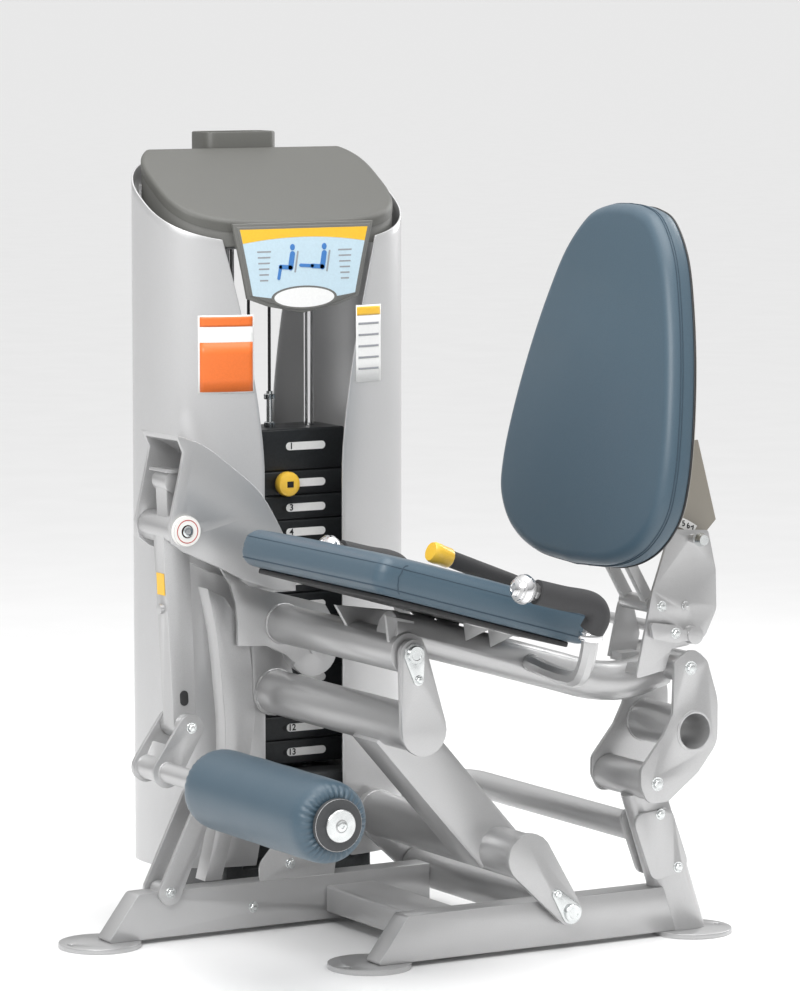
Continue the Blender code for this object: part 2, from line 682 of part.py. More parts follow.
def weight_stack():
    """Thirteen plates. The head plate, its stem and the second plate hang on the cable."""
    for number in range(3, PLATE_COUNT + 1):
        weight_plate(f"weight_plate_{number:02d}", plate_bottom(number), PLATE_PITCH - GAP, root)
    second = weight_plate("weight_plate_02", plate_bottom(2), PLATE_PITCH - GAP, lift)
    hole_z = plate_bottom(2) + PLATE_PITCH / 2
    front = STACK_Y - STACK_DEPTH / 2
    cut(second, bar(SELECTOR_HOLE, (TOWER_X, front - 0.02, hole_z), (TOWER_X, STACK_Y, hole_z), 16))

    head_bottom = plate_bottom(1)
    head = weight_plate("weight_head", head_bottom, HEAD_THICKNESS, lift)
    stem_bottom = plate_bottom(4)
    stem = bar(STEM_RADIUS, (TOWER_X, STACK_Y, stem_bottom), (TOWER_X, STACK_Y, head_bottom + 0.02), 16)
    bolt = bar(0.006, (TOWER_X, STACK_Y, head_bottom + HEAD_THICKNESS - 0.01),
               (TOWER_X, STACK_Y, head_bottom + HEAD_THICKNESS + 0.070), 16)
    nuts = [bar(0.011, (TOWER_X, STACK_Y, head_bottom + HEAD_THICKNESS + low),
                (TOWER_X, STACK_Y, head_bottom + HEAD_THICKNESS + low + 0.009), 6) for low in (-0.001, 0.055)]
    add(head, stem, bolt, *nuts)

    pin_tip = STACK_Y - STEM_RADIUS - 0.001
    pin = turned([(0, 0.064), (SELECTOR_HOLE - RUNNING, 0.063), (SELECTOR_HOLE - RUNNING, 0.0), (0, 0.0)],
                 (TOWER_X, pin_tip - 0.064, hole_z), (0, 1, 0), 16)
    knob = turned([(0, 0.022), (0.020, 0.022), (0.0245, 0.018), (0.0245, 0.006), (0.021, 0.0), (0, 0.0)],
                  (TOWER_X, front - 0.0245, hole_z), (0, 1, 0), 24)
    finish(add(knob, pin), "selector_pin", "yellow_plastic", YELLOW, lift)


def guide_rods_and_cable():
    """Two polished rods from the base to the crosshead, the top pulley, and the two cable runs."""
    rod_top = CROSSHEAD_Z - GAP
    for name, x in zip(("guide_rod_front_side", "guide_rod_rear_side"), rod_places()):
        finish(bar(ROD_RADIUS, (x, STACK_Y, STACK_BOTTOM - 0.010 + GAP), (x, STACK_Y, rod_top), 20), name,
               "chrome", CHROME, root)
    crosshead = box((TOWER_X - 0.130, STACK_Y - 0.040, CROSSHEAD_Z),
                    (TOWER_X + 0.130, STACK_Y + 0.075, CROSSHEAD_Z + CROSSHEAD_THICKNESS), 0.003)
    slot = box((TOWER_X - 0.014, STACK_Y - 0.012, CROSSHEAD_Z - 0.02), (TOWER_X + 0.014, STACK_Y + 0.074,
                                                                        CROSSHEAD_Z + 0.03))
    cut(crosshead, slot)
    pulley_y = STACK_Y + TOP_PULLEY_RADIUS - 0.006 + CABLE_RADIUS + GAP
    pulley_z = CROSSHEAD_Z + 0.054
    ear_low = CROSSHEAD_Z + CROSSHEAD_THICKNESS - 0.002
    for side in (-1, 1):
        near, far = sorted((TOWER_X + side * 0.0155, TOWER_X + side * 0.0205))
        add(crosshead, box((near, pulley_y - 0.020, ear_low), (far, pulley_y + 0.020, pulley_z + 0.018)))
    axle_end = 0.0165
    axle = bar(0.006, (TOWER_X - axle_end, pulley_y, pulley_z), (TOWER_X + axle_end, pulley_y, pulley_z), 16)
    finish(add(crosshead, axle), "crosshead", "silver_paint", SILVER, root)
    groove = TOP_PULLEY_RADIUS - 0.006
    wheel = [(TOP_PULLEY_RADIUS, 0.010), (TOP_PULLEY_RADIUS, 0.0085), (groove, 0.004), (groove, -0.004),
             (TOP_PULLEY_RADIUS, -0.0085), (TOP_PULLEY_RADIUS, -0.010), (0.0068, -0.010), (0.0068, 0.010)]
    pulley_frame = empty("top_pulley_axis", (TOWER_X, pulley_z), root, y=pulley_y)
    finish(turned(wheel, (TOWER_X, pulley_y, pulley_z), (1, 0, 0), 32), "top_pulley", "black_rubber",
           BLACK_FOAM, pulley_frame)

    front_bottom = plate_bottom(1) + HEAD_THICKNESS + 0.070 + GAP
    front_run = bar(CABLE_RADIUS, (TOWER_X, STACK_Y, front_bottom), (TOWER_X, STACK_Y, pulley_z), 12)
    finish(front_run, "cable_front_run", "black_rubber", BLACK_FOAM, root)
    rear_y = pulley_y + groove + CABLE_RADIUS + GAP
    rear_run = bar(CABLE_RADIUS, (TOWER_X, rear_y, STACK_BOTTOM - 0.060), (TOWER_X, rear_y, pulley_z), 12)
    finish(rear_run, "cable_rear_run", "black_rubber", BLACK_FOAM, root)


def tower_base():
    """The dark plinth under the stack, open at the front for the lower pulley and behind for the cable."""
    half_w = STACK_WIDTH / 2 + 0.030 - GAP
    plinth = box((TOWER_X - half_w, TOWER_Y - SHROUD_HALF_DEPTH + 0.026, 0.0),
                 (TOWER_X + half_w, STACK_Y + STACK_DEPTH / 2 + 0.010, STACK_BOTTOM - 0.010), 0.006)
    bay = box((TOWER_X - half_w + 0.040, 0.30, 0.090), (TOWER_X + half_w - 0.040, STACK_Y - 0.020, 0.220))
    slot = box((TOWER_X - 0.020, STACK_Y + STACK_DEPTH / 2 - 0.030, STACK_BOTTOM - 0.065),
               (TOWER_X + 0.020, 0.80, 0.320))
    finish(cut(plinth, bay, slot), "tower_base", "dark_steel", DARK_STEEL, root)


# ---- Swing frame ----
def swing_frame():
    """Two cross tubes on end plates, tied by one slanting strut: it rocks on the floor pivot."""
    outer = SWING_NEAR_Y - SWING_PLATE / 2
    inner = SWING_NEAR_Y + SWING_PLATE / 2
    lower = cross_bar(SWING_TUBE_RADIUS, SWING_LOWER, inner - 0.002,
                      SWING_LOWER_FAR_Y - SWING_PLATE / 2 + 0.002, 28)
    upper = cross_bar(SWING_TUBE_RADIUS - 0.001, SWING_UPPER, inner - 0.002,
                      SWING_UPPER_FAR_Y - SWING_PLATE / 2 + 0.002, 28)
    along = (Vector(SWING_UPPER) - Vector(SWING_LOWER)).normalized()
    across = Vector((-along[1], along[0])) * STRUT_DEPTH / 2
    ends = [Vector(SWING_LOWER), Vector(SWING_UPPER)]
    strut_corners = ((ends[0], -across), (ends[0], across), (ends[1], across), (ends[1], -across))
    strut_outline = [tuple(end + side) for end, side in strut_corners]
    strut = plate(strut_outline, *STRUT_Y)
    low_lobes = lobes((SWING_LOWER, 0.047), (FLOOR_PIVOT, 0.026))
    high_lobes = lobes((SWING_UPPER, 0.047), (SEAT_PIVOT, 0.028))
    near_low = plate(low_lobes, outer, inner)
    far_low = plate(low_lobes, SWING_LOWER_FAR_Y - SWING_PLATE / 2, SWING_LOWER_FAR_Y + SWING_PLATE / 2)
    near_high = plate(high_lobes, outer, inner)
    far_high = plate(high_lobes, SWING_UPPER_FAR_Y - SWING_PLATE / 2, SWING_UPPER_FAR_Y + SWING_PLATE / 2)
    add(strut, lower, upper, near_low, far_low, near_high, far_high)
    for centre, screw in ((FLOOR_PIVOT, (0.367, 0.111)), (SEAT_PIVOT, (0.066, 0.537))):
        add(strut, plate(lobes((centre, 0.021), (screw, 0.010)), outer - 0.004, outer + 0.002))
        add(strut, cross_bar(0.0165, centre, outer - 0.010, outer - 0.002, 28))
        add(strut, *bolt_head(screw, outer - 0.004, 0.006, 0.0055))
    finish(strut, "swing_frame", "silver_paint", SILVER, swing)


# ---- Seat frame ----
BRACKET_TOP = [(-0.206, 0.963), (-0.150, 0.942), (-0.097, 0.904), (-0.040, 0.858), (-0.007, 0.815),
               (0.026, 0.756)]
BRACKET_FRONT = [(-0.192, 0.930), (-0.200, 0.890), (-0.214, 0.830), (-0.223, 0.792), (-0.216, 0.760),
                 (-0.195, 0.744)]
BRACKET_BELOW = [(-0.114, 0.708), (-0.065, 0.683), (0.000, 0.660)]


def knee_bracket():
    """A folded box: two side plates under a curved top flange, open at the front and below."""
    top = [tuple(point) for point in smooth_run(BRACKET_TOP, 3)]
    rear_edge = [(0.060, 0.690), (0.040, 0.655)]
    below = list(reversed(BRACKET_BELOW))
    front = list(reversed(BRACKET_FRONT))
    outline = top + rear_edge + below + front
    body = plate(outline, *BRACKET_Y)
    inner_top = [(x - 0.004, z - BRACKET_FLANGE - 0.002) for x, z in top]
    pocket = [(-0.300, inner_top[0][1] + 0.003)] + inner_top + [(0.020, 0.690), (0.000, 0.600),
                                                                (-0.300, 0.600)]
    hollow = plate(pocket, BRACKET_Y[0] + BRACKET_PLATE, BRACKET_Y[1] - BRACKET_PLATE)
    cut(body, hollow)
    tie = plate([(0.000, 0.655), (0.048, 0.655), (0.048, 0.700), (0.000, 0.700)], BRACKET_Y[0] + 0.002,
                BRACKET_Y[1] - 0.002)
    add(body, tie)
    cut(body, cross_bar(KNEE_AXLE_RADIUS + RUNNING, KNEE_PIVOT, BRACKET_Y[0] - 0.01, BRACKET_Y[0] + 0.02, 24))
    finish(body, "knee_bracket", "silver_paint", SILVER, seat)


def spine_tube(radius):
    """The spine's run at a radius: the tube itself, or the room that a piece fitted to it leaves."""
    return tube(radius, smooth_run([(x, 0.0, z) for x, z in SPINE_RUN], 3), 24)


def seat_frame():
    """The seat's cross tube on the swing frame's upper pivot, the long spine, and its plates."""
    cross = cross_bar(SEAT_TUBE_RADIUS, SEAT_PIVOT, SEAT_TUBE_Y[0], SEAT_TUBE_Y[1] - GAP, 28)
    spine = spine_tube(SPINE_RADIUS)
    hub_end = REAR_LINK_Y - LINK_PLATE / 2 - SIDE_PLAY
    hub = cross_bar(0.030, REAR_SEAT_PIVOT, -hub_end, hub_end, 32)
    gusset = plate(rounded([(0.012, 0.655, 0), (0.150, 0.634, 0.008), (0.146, 0.600, 0.010),
                            (0.118, 0.552, 0.014),
                            (0.060, 0.575, 0)]), 0.140, 0.150)
    stiffener = plate([(0.030, 0.580), (0.075, 0.580), (0.080, 0.640), (0.020, 0.655)], -0.030, -0.022)
    add(spine, cross, hub, gusset, stiffener)
    finish(spine, "seat_frame", "silver_paint", SILVER, seat)

    side_outline = [(-0.077, 0.699), (-0.056, 0.666), (-0.044, 0.628), (-0.040, 0.591), (-0.040, 0.547),
                    (0.022, 0.543), (0.064, 0.523), (0.085, 0.506)] + arc(CAM_CENTRE, CAM_RADIUS, 215, 340,
                                                                          10) + [
                    (0.178, 0.570), (0.150, 0.615), (0.060, 0.640), (-0.010, 0.6569)]
    side = plate(side_outline, *CAM_PLATE_Y)
    belt_cam = cross_bar(BELT_CAM_RADIUS, CAM_CENTRE, CAM_PLATE_Y[1] - 0.001, CAM_PLATE_Y[1] + 0.030, 28)
    add(side, belt_cam)
    add(side, cross_bar(0.009, CAM_CENTRE, CAM_PLATE_Y[0] - 0.005, CAM_PLATE_Y[0] + 0.002, 16))
    finish(side, "cam_plate", "silver_paint", SILVER, seat)


def seat_place(along, up, y=0.0):
    """A point of the seat: along its slope toward the back, and square to it."""
    x = SEAT_MIDDLE[0] + along * cos(SEAT_TILT) + up * sin(SEAT_TILT)
    z = SEAT_MIDDLE[1] - along * sin(SEAT_TILT) + up * cos(SEAT_TILT)
    return (x, y, z)


def seat_cushion():
    """The seat's board with its two hangers under it, and the cushion on it."""
    half = SEAT_LENGTH / 2
    cushion = box((-half, -SEAT_HALF_WIDTH, -SEAT_THICKNESS / 2),
                  (half, SEAT_HALF_WIDTH, SEAT_THICKNESS / 2), 0.022)
    cushion.location = seat_place(0, 0)
    cushion.rotation_euler = (0, SEAT_TILT, 0)
    finish(cushion, "seat_cushion", "blue_vinyl", BLUE_VINYL, seat)
    top = -SEAT_THICKNESS / 2 - GAP
    board = box((-half + 0.055, -SEAT_HALF_WIDTH + 0.030, -SEAT_BOARD / 2),
                (half - 0.015, SEAT_HALF_WIDTH - 0.030, SEAT_BOARD / 2), 0.002)
    board.location = seat_place(0, top - SEAT_BOARD / 2)
    board.rotation_euler = (0, SEAT_TILT, 0)
    cut(board, spine_tube(SPINE_RADIUS + GAP))
    finish(board, "seat_board", "black_board", STACK_BLACK, seat)


# ---- Leg arm ----
def leg_arm():
    """The arm from the knee pivot to the shin pivot, with its hubs, upper stub and stop."""
    down = (Vector(SHIN_PIVOT) - Vector(KNEE_PIVOT)).normalized()
    side = Vector((down[1], -down[0])) * ARM_WIDTH / 2
    start = Vector(KNEE_PIVOT) - down * 0.090
    end = Vector(SHIN_PIVOT)
    shaft = plate([tuple(start + side * 0.62), tuple(start - side * 0.62),
                   tuple(Vector(KNEE_PIVOT) - side * 0.62),
                   tuple(Vector(KNEE_PIVOT) - side), tuple(end - side * 0.9), tuple(end + side * 0.9),
                   tuple(Vector(KNEE_PIVOT) + side), tuple(Vector(KNEE_PIVOT) + side * 0.62)], *ARM_Y)
    inside = (BRACKET_Y[0] + BRACKET_PLATE + SIDE_PLAY, BRACKET_Y[1] - BRACKET_PLATE - SIDE_PLAY)
    hub = cross_bar(ARM_HUB_RADIUS, KNEE_PIVOT, *inside, 28)
    low_hub = cross_bar(SHIN_HUB_RADIUS, SHIN_PIVOT, *SHIN_HUB_Y, 32)
    top = tuple(start)
    stub_hub = cross_bar(0.021, top, ARM_Y[0] - 0.006, ARM_Y[1] + 0.006, 28)
    bumper = plate([(top[0] - 0.024, top[1] + 0.019), (top[0] + 0.028, top[1] + 0.014),
                    (top[0] + 0.029, top[1] + 0.020),
                    (top[0] - 0.023, top[1] + 0.025)], ARM_Y[0] - 0.012, ARM_Y[1] + 0.012)
    boss_root = Vector(KNEE_PIVOT) + down * 0.150 + side * 0.5
    boss_end = boss_root + side * 0.75
    arm_middle = sum(ARM_Y) / 2
    boss = bar(0.010, (boss_root[0], arm_middle, boss_root[1]), (boss_end[0], arm_middle, boss_end[1]), 20)
    add(shaft, hub, low_hub, stub_hub, bumper, boss)
    cap_face = BRACKET_Y[0] - SIDE_PLAY
    axle = cross_bar(KNEE_AXLE_RADIUS, KNEE_PIVOT, cap_face - 0.001, inside[0] + 0.010, 24)
    cap_disc = cross_bar(PIVOT_CAP_RADIUS, KNEE_PIVOT, cap_face - 0.009, cap_face, 32)
    cap_screw = cross_bar(0.010, KNEE_PIVOT, cap_face - 0.012, cap_face - 0.008, 24)
    add(shaft, axle, cap_disc, cap_screw)
    finish(shaft, "leg_arm", "silver_paint", SILVER, knee)


def shin_link():
    """Two round-ended plates from the shin pivot to the roller's shaft."""
    near_y = SHIN_HUB_Y[0] - SIDE_PLAY
    far_y = SHIN_HUB_Y[1] + SIDE_PLAY
    outline = lobes((SHIN_PIVOT, 0.026), (ROLLER_AXIS, LINK_END_RADIUS - 0.004))
    near = plate(outline, near_y - LINK_PLATE, near_y)
    far = plate(outline, far_y, far_y + LINK_PLATE)
    tie = cross_bar(ROLLER_SHAFT_RADIUS + 0.004, ROLLER_AXIS, near_y - LINK_PLATE + 0.001,
                    far_y + LINK_PLATE - 0.001, 28)
    shaft = cross_bar(ROLLER_SHAFT_RADIUS, ROLLER_AXIS, ROLLER_Y[0] - 0.0090, near_y - LINK_PLATE + 0.003, 28)
    middle = (Vector(SHIN_PIVOT) + Vector(ROLLER_AXIS)) / 2
    web_side = Vector((0.013, -0.008))
    web_end = Vector(ROLLER_AXIS)
    web = plate([tuple(middle - web_side), tuple(middle - web_side * 0.5), tuple(web_end + web_side * 0.6),
                 tuple(web_end - web_side * 0.6)], near_y - 0.002, far_y + 0.002)
    add(near, far, tie, shaft, web)
    add(near, *bolt_head(SHIN_PIVOT, near_y - LINK_PLATE))
    end_y = ROLLER_Y[0] - SIDE_PLAY
    add(near, cross_bar(0.047, ROLLER_AXIS, end_y - 0.009, end_y, 36))
    add(near, cross_bar(ROLLER_CAP_RADIUS, ROLLER_AXIS, end_y - 0.018, end_y - 0.008, 36))
    finish(near, "shin_link", "silver_paint", SILVER, shin)

    bore = ROLLER_SHAFT_RADIUS + RUNNING
    y_low, y_high = ROLLER_Y
    length = y_high - y_low
    profile = [(bore, length), (ROLLER_RADIUS - 0.030, length), (ROLLER_RADIUS - 0.010, length - 0.007),
               (ROLLER_RADIUS, length - 0.025), (ROLLER_RADIUS, 0.025), (ROLLER_RADIUS - 0.010, 0.007),
               (ROLLER_RADIUS - 0.030, 0.0), (bore, 0.0)]
    pad = turned(profile, (ROLLER_AXIS[0], y_low, ROLLER_AXIS[1]), (0, 1, 0), 28)
    finish(pad, "shin_roller", "blue_vinyl", BLUE_VINYL, roller_frame)


def prop():
    """The channel that leans on the far beam's lug: two round-ended cheeks and a web behind."""
    top = (-0.135, 0.262)
    cheek = lobes((PROP_PIVOT, 0.024), (top, 0.020))
    inner = BEAM_WIDTH / 2 + SIDE_PLAY
    cheeks = [plate(cheek, FAR_BEAM_Y - inner - LINK_PLATE, FAR_BEAM_Y - inner),
              plate(cheek, FAR_BEAM_Y + inner, FAR_BEAM_Y + inner + LINK_PLATE)]
    slope = (Vector(top) - Vector(PROP_PIVOT)).normalized()
    square = Vector((slope[1], -slope[0]))
    low = Vector(PROP_PIVOT) + slope * 0.050
    high = Vector(top)
    web = plate([tuple(low + square * 0.012), tuple(high + square * 0.012), tuple(high + square * 0.019),
                 tuple(low + square * 0.021)],
                FAR_BEAM_Y - inner - 0.004, FAR_BEAM_Y + inner + 0.001)
    add(cheeks[0], web, cheeks[1])
    add(cheeks[0], *bolt_head(PROP_PIVOT, FAR_BEAM_Y - inner - LINK_PLATE))
    finish(cheeks[0], "rest_prop", "silver_paint", SILVER, prop_frame)


# ---- Rear link ----
def rear_link():
    """Two crescent plates on one large through tube, between the rear post and the spine."""
    outline = rounded([(0.614, 0.532, 0), (0.611, 0.435, 0.02), (0.590, 0.395, 0.03), (0.540, 0.335, 0.02),
                       (0.540, 0.300, 0.02), (0.556, 0.268, 0.02), (0.600, 0.268, 0.02), (0.668, 0.318, 0.05),
                       (0.712, 0.372, 0.05), (0.712, 0.455, 0.08), (0.688, 0.530, 0.025),
                       (0.655, 0.560, 0.028)], 3)
    half = LINK_PLATE / 2
    near = plate(outline, -REAR_LINK_Y - half, -REAR_LINK_Y + half)
    far = plate(outline, REAR_LINK_Y - half, REAR_LINK_Y + half)
    tube_body = cross_bar(REAR_LINK_TUBE_RADIUS, REAR_LINK_TUBE, -REAR_LINK_Y - half - 0.002,
                          REAR_LINK_Y + half + 0.002, 28)
    bore = cross_bar(REAR_LINK_TUBE_RADIUS - REAR_LINK_TUBE_WALL, REAR_LINK_TUBE, -0.2, 0.2, 28)
    add(near, far, tube_body)
    cut(near, bore)
    for spot in (REAR_POST_PIVOT, REAR_SEAT_PIVOT):
        add(near, *bolt_head(spot, -REAR_LINK_Y - half, 0.0095, 0.007))
    finish(near, "rear_link", "silver_paint", SILVER, rear)


# ---- Back rest ----
def back_place(up, out, y=0.0):
    """A point of the back rest: up its lean from the bottom, and out behind its front face."""
    x = BACK_BOTTOM[0] + up * sin(BACK_LEAN) + out * cos(BACK_LEAN)
    z = BACK_BOTTOM[1] + up * cos(BACK_LEAN) - out * sin(BACK_LEAN)
    return (x, y, z)


def back_outline(inset=0.0):
    """The pad's outline in its own plane: wide and low at the bottom, narrow and round at the top."""
    half_width = BACK_HALF_WIDTH - inset
    height = BACK_HEIGHT - 2 * inset
    side = [(across * half_width, inset + up * height) for across, up in BACK_SHAPE]
    run = smooth_run(side, 3)
    return run + [(-y, up) for y, up in reversed(run[1:-1])]


def back_slab(outline, out_start, out_end):
    """A slab of the back rest between two depths behind its front face."""
    curve = bpy.data.curves.new("outline", "CURVE")
    curve.dimensions = "2D"
    curve.fill_mode = "BOTH"
    curve.extrude = (out_end - out_start) / 2
    spline = curve.splines.new("POLY")
    spline.points.add(len(outline) - 1)
    for point, (y, up) in zip(spline.points, outline):
        point.co = (y, up, 0, 1)
    spline.use_cyclic_u = True
    holder = bpy.data.objects.new("outline", curve)
    holder.location = back_place(0, (out_start + out_end) / 2)
    holder.rotation_euler = Matrix(((0, sin(BACK_LEAN), cos(BACK_LEAN)), (1, 0, 0),
                                    (0, cos(BACK_LEAN), -sin(BACK_LEAN)))).to_euler()
    return curve_to_mesh(holder)


def back_rest():
    """The cushion, its taupe rear shell, the two uprights on the back pivot and the notched sector plate."""
    cushion = back_slab(back_outline(), 0.0, BACK_THICKNESS)
    edge = cushion.modifiers.new("edges", "BEVEL")
    edge.width = 0.016
    edge.segments = 2
    finish(cushion, "back_cushion", "blue_vinyl", BLUE_VINYL, back)
    shell_start = BACK_THICKNESS + GAP
    shell = back_slab(back_outline(0.008), shell_start, shell_start + BACK_SHELL)
    finish(shell, "back_shell", "taupe_plastic", TAUPE, back)
    mount = shell_start + BACK_SHELL + GAP
    foot = Vector((BACK_PIVOT[0], 0.0, BACK_PIVOT[1]))
    frame = cross_bar(0.016, BACK_PIVOT, -0.048, 0.048, 28)
    for y in (-0.036, 0.036):
        low = back_place(0.060, mount, y)
        high = back_place(0.330, mount, y)
        points = [(foot.x - 0.012, foot.z), (foot.x + 0.012, foot.z), (low[0] + 0.022, low[2]),
                  (high[0] + 0.020, high[2]),
                  (high[0], high[2]), (low[0], low[2])]
        add(frame, plate(points, y - 0.008, y + 0.008))
    tie_low = back_place(0.200, mount + 0.010)
    add(frame, cross_bar(0.008, (tie_low[0], tie_low[2]), -0.040, 0.040, 16))
    finish(frame, "back_uprights", "silver_paint", SILVER, back)

    top = back_place(0.225, mount)
    sector_outline = [(top[0] + 0.024, 0.935), (0.690, 0.945), (0.732, 0.792), (0.702, 0.762)]
    sector_outline += arc(BACK_PIVOT, SECTOR_HOLE_CIRCLE - 0.012, 52, 96, 6)
    sector_outline += [(top[0] - 0.010, 0.800)]
    sector = plate(sector_outline, SECTOR_Y - 0.004, SECTOR_Y)
    for step in range(-1, 6):
        spot = arc(BACK_PIVOT, SECTOR_HOLE_CIRCLE, PIN_ANGLE + step * SECTOR_STEP, 0, 1)[0]
        cut(sector, cross_bar(PIN_RADIUS + RUNNING, spot, SECTOR_Y - 0.02, SECTOR_Y + 0.02, 14))
    tab_y = SECTOR_Y + GAP
    add(frame, plate([(top[0] + 0.004, 0.850), (0.690, 0.870), (0.690, 0.880), (top[0] + 0.004, 0.880)],
                     tab_y, -0.030))
    finish(sector, "back_sector", "taupe_plastic", TAUPE, back)


def back_brackets():
    """The two plates on the spine that carry the back pivot, and the sprung pull pin on the near one."""
    near_y = -BACK_PLATE_Y
    near = plate(rounded([(0.536, 0.505, 0.004), (0.600, 0.517, 0.004), (0.614, 0.556, 0.008),
                          (0.650, 0.560, 0.01),
                          (0.690, 0.574, 0.02), (0.716, 0.625, 0.03), (0.714, 0.700, 0.03),
                          (0.696, 0.776, 0.006),
                          (0.612, 0.782, 0.006), (0.572, 0.670, 0.02)], 3), near_y - 0.006, near_y)
    hub = cross_bar(0.010, BACK_PIVOT, near_y - 0.001, -0.0495, 24)
    foot = plate([(0.540, 0.512), (0.598, 0.514), (0.596, 0.530), (0.546, 0.530)], near_y - 0.001, -0.030)
    cut(foot, spine_tube(SPINE_RADIUS + GAP))
    add(near, foot, hub)
    for spot in (BACK_PIVOT, (0.646, 0.636)):
        add(near, *bolt_head(spot, near_y - 0.006))
    far = plate(rounded([(0.560, 0.530, 0), (0.580, 0.620, 0.02), (0.592, 0.662, 0.018), (0.612, 0.640, 0.01),
                         (0.630, 0.570, 0.01), (0.618, 0.520, 0)], 3), BACK_PLATE_Y - 0.014,
                BACK_PLATE_Y - 0.008)
    far_foot = plate([(0.566, 0.524), (0.612, 0.522), (0.612, 0.540), (0.566, 0.540)], 0.020,
                     BACK_PLATE_Y - 0.010)
    add(far, cut(far_foot, spine_tube(SPINE_RADIUS + GAP)))
    finish(far, "back_bracket_far", "silver_paint", SILVER, seat)
    spot = arc(BACK_PIVOT, SECTOR_HOLE_CIRCLE, PIN_ANGLE, 0, 1)[0]
    pin_y = near_y - 0.006
    pin_frame = empty("pull_pin_frame", spot, seat, y=pin_y)
    knob_back = pin_y - 0.018 - GAP
    pin_length = SECTOR_Y - knob_back
    pin = turned([(0, pin_length), (PIN_RADIUS, pin_length), (PIN_RADIUS, 0), (0.011, 0), (0.0135, -0.010),
                  (0.010, -0.022),
                  (0, -0.022)], (spot[0], knob_back, spot[1]), (0, 1, 0), 20)
    finish(pin, "pull_pin", "chrome", CHROME, pin_frame)
    boss = cross_bar(0.017, LEVER_PIVOT, near_y - 0.026, near_y - 0.004, 24)
    arm = plate(rounded([(0.556, 0.612, 0.006), (0.628, 0.600, 0.012), (0.632, 0.566, 0.012),
                         (0.562, 0.580, 0.006)], 3),
                near_y - 0.024, near_y - 0.015)
    joint = plate([(0.615, 0.572), (0.662, 0.570), (0.662, 0.592), (0.615, 0.594)], near_y - 0.0225,
                  near_y - 0.0160)
    add(near, boss, joint, arm)
    add(near, *bolt_head((0.612, 0.588), near_y - 0.024))
    add(near, cross_bar(0.0085, spot, pin_y - 0.018, near_y + 0.003, 20))
    cut(near, cross_bar(PIN_RADIUS + RUNNING, spot, pin_y - 0.03, near_y + 0.02, 16))
    finish(near, "back_bracket_near", "silver_paint", SILVER, seat)


# ---- Handles and lever ----
def handles():
    """A bent bar on each side of the seat: the bare tube leaves the spine, and a foam grip ends in a ball."""
    for name, side in (("near", -1), ("far", 1)):
        knob = (HANDLE_KNOB[0], side * HANDLE_Y, HANDLE_KNOB[1])
        bend = [(0.200, 0.350, 0.710), (0.246, 0.350, 0.700), (0.268, 0.348, 0.688), (0.276, 0.344, 0.668),
                (0.268, 0.336, 0.645)]
        low = [(0.266, 0.332, 0.612), (0.268, 0.312, 0.572), (0.276, 0.270, 0.549), (0.300, 0.150, 0.545),
               (0.330, 0.020, 0.547)]
        route = [knob] + [(x, side * y, z) for x, y, z in bend + low]
        bar_body = tube(HANDLE_TUBE_RADIUS, smooth_run(route, 2), 12)
        ball = turned([(0, 0.030), (0.016, 0.027), (0.0255, 0.016), (0.0270, 0.006), (0.0220, -0.006),
                       (0.0160, -0.010), (0, -0.011)],
                      knob, (-1, 0, 0.22), 24)
        add(bar_body, ball)
        cut(bar_body, spine_tube(SPINE_RADIUS + GAP))
        finish(bar_body, f"handle_bar_{name}", "chrome", CHROME, seat)
        grip_route = [(0.142, side * 0.350, 0.7252)] + [(x, side * y, z) for x, y, z in bend]
        sleeve = tube(GRIP_RADIUS, smooth_run(grip_route, 2), 16)
        bore = tube(HANDLE_TUBE_RADIUS + RUNNING, smooth_run(route, 2), 12)
        cut(sleeve, bore)
        finish(sleeve, f"handle_grip_{name}", "black_foam", BLACK_FOAM, seat)


def adjust_lever():
    """The seat-side lever: a foam-covered bar with a yellow cap, on a cross shaft behind the seat."""
    start = Vector((LEVER_PIVOT[0], LEVER_Y, LEVER_PIVOT[1]))
    end = Vector((LEVER_CAP[0], LEVER_Y, LEVER_CAP[1]))
    along = (end - start).normalized()
    lever = bar(LEVER_RADIUS, start, end, 20)
    grip = bar(LEVER_GRIP_RADIUS, start + along * 0.150, end - along * 0.030, 24)
    cap_body = bar(LEVER_GRIP_RADIUS + 0.004, end - along * 0.034, end + along * 0.010, 24)
    shaft = cross_bar(0.011, LEVER_PIVOT, GAP - BACK_PLATE_Y, LEVER_Y + 0.016, 20)
    add(lever, grip, cap_body, shaft)
    finish(lever, "adjust_lever", "black_foam", BLACK_FOAM, lever_frame)


base_frame()
feet()
rear_post()
rear_rail()
front_column()
shrouds()
cap()
fascia()
weight_stack()
guide_rods_and_cable()
tower_base()
swing_frame()
knee_bracket()
seat_frame()
seat_cushion()
leg_arm()
shin_link()
prop()
rear_link()
back_rest()
back_brackets()
handles()
adjust_lever()


# ---- Origin: the middle of the footprint, on the floor ----
def centre_on_footprint():
    """Shifts the whole machine so that its box is centred on the origin."""
    bpy.context.view_layer.update()
    graph = bpy.context.evaluated_depsgraph_get()
    spots = []
    for piece in parts.objects:
        solid = piece.evaluated_get(graph)
        spots += [solid.matrix_world @ Vector(corner) for corner in solid.bound_box]
    middle_x = (min(spot.x for spot in spots) + max(spot.x for spot in spots)) / 2
    middle_y = (min(spot.y for spot in spots) + max(spot.y for spot in spots)) / 2
    root.location = (-middle_x, -middle_y, 0)


centre_on_footprint()
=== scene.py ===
"""A seated leg extension machine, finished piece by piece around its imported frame."""

import json
from math import cos, pi, radians, sin, tau

import bmesh
import bpy
from mathutils import Matrix, Vector, noise
from mathutils.geometry import convex_hull_2d


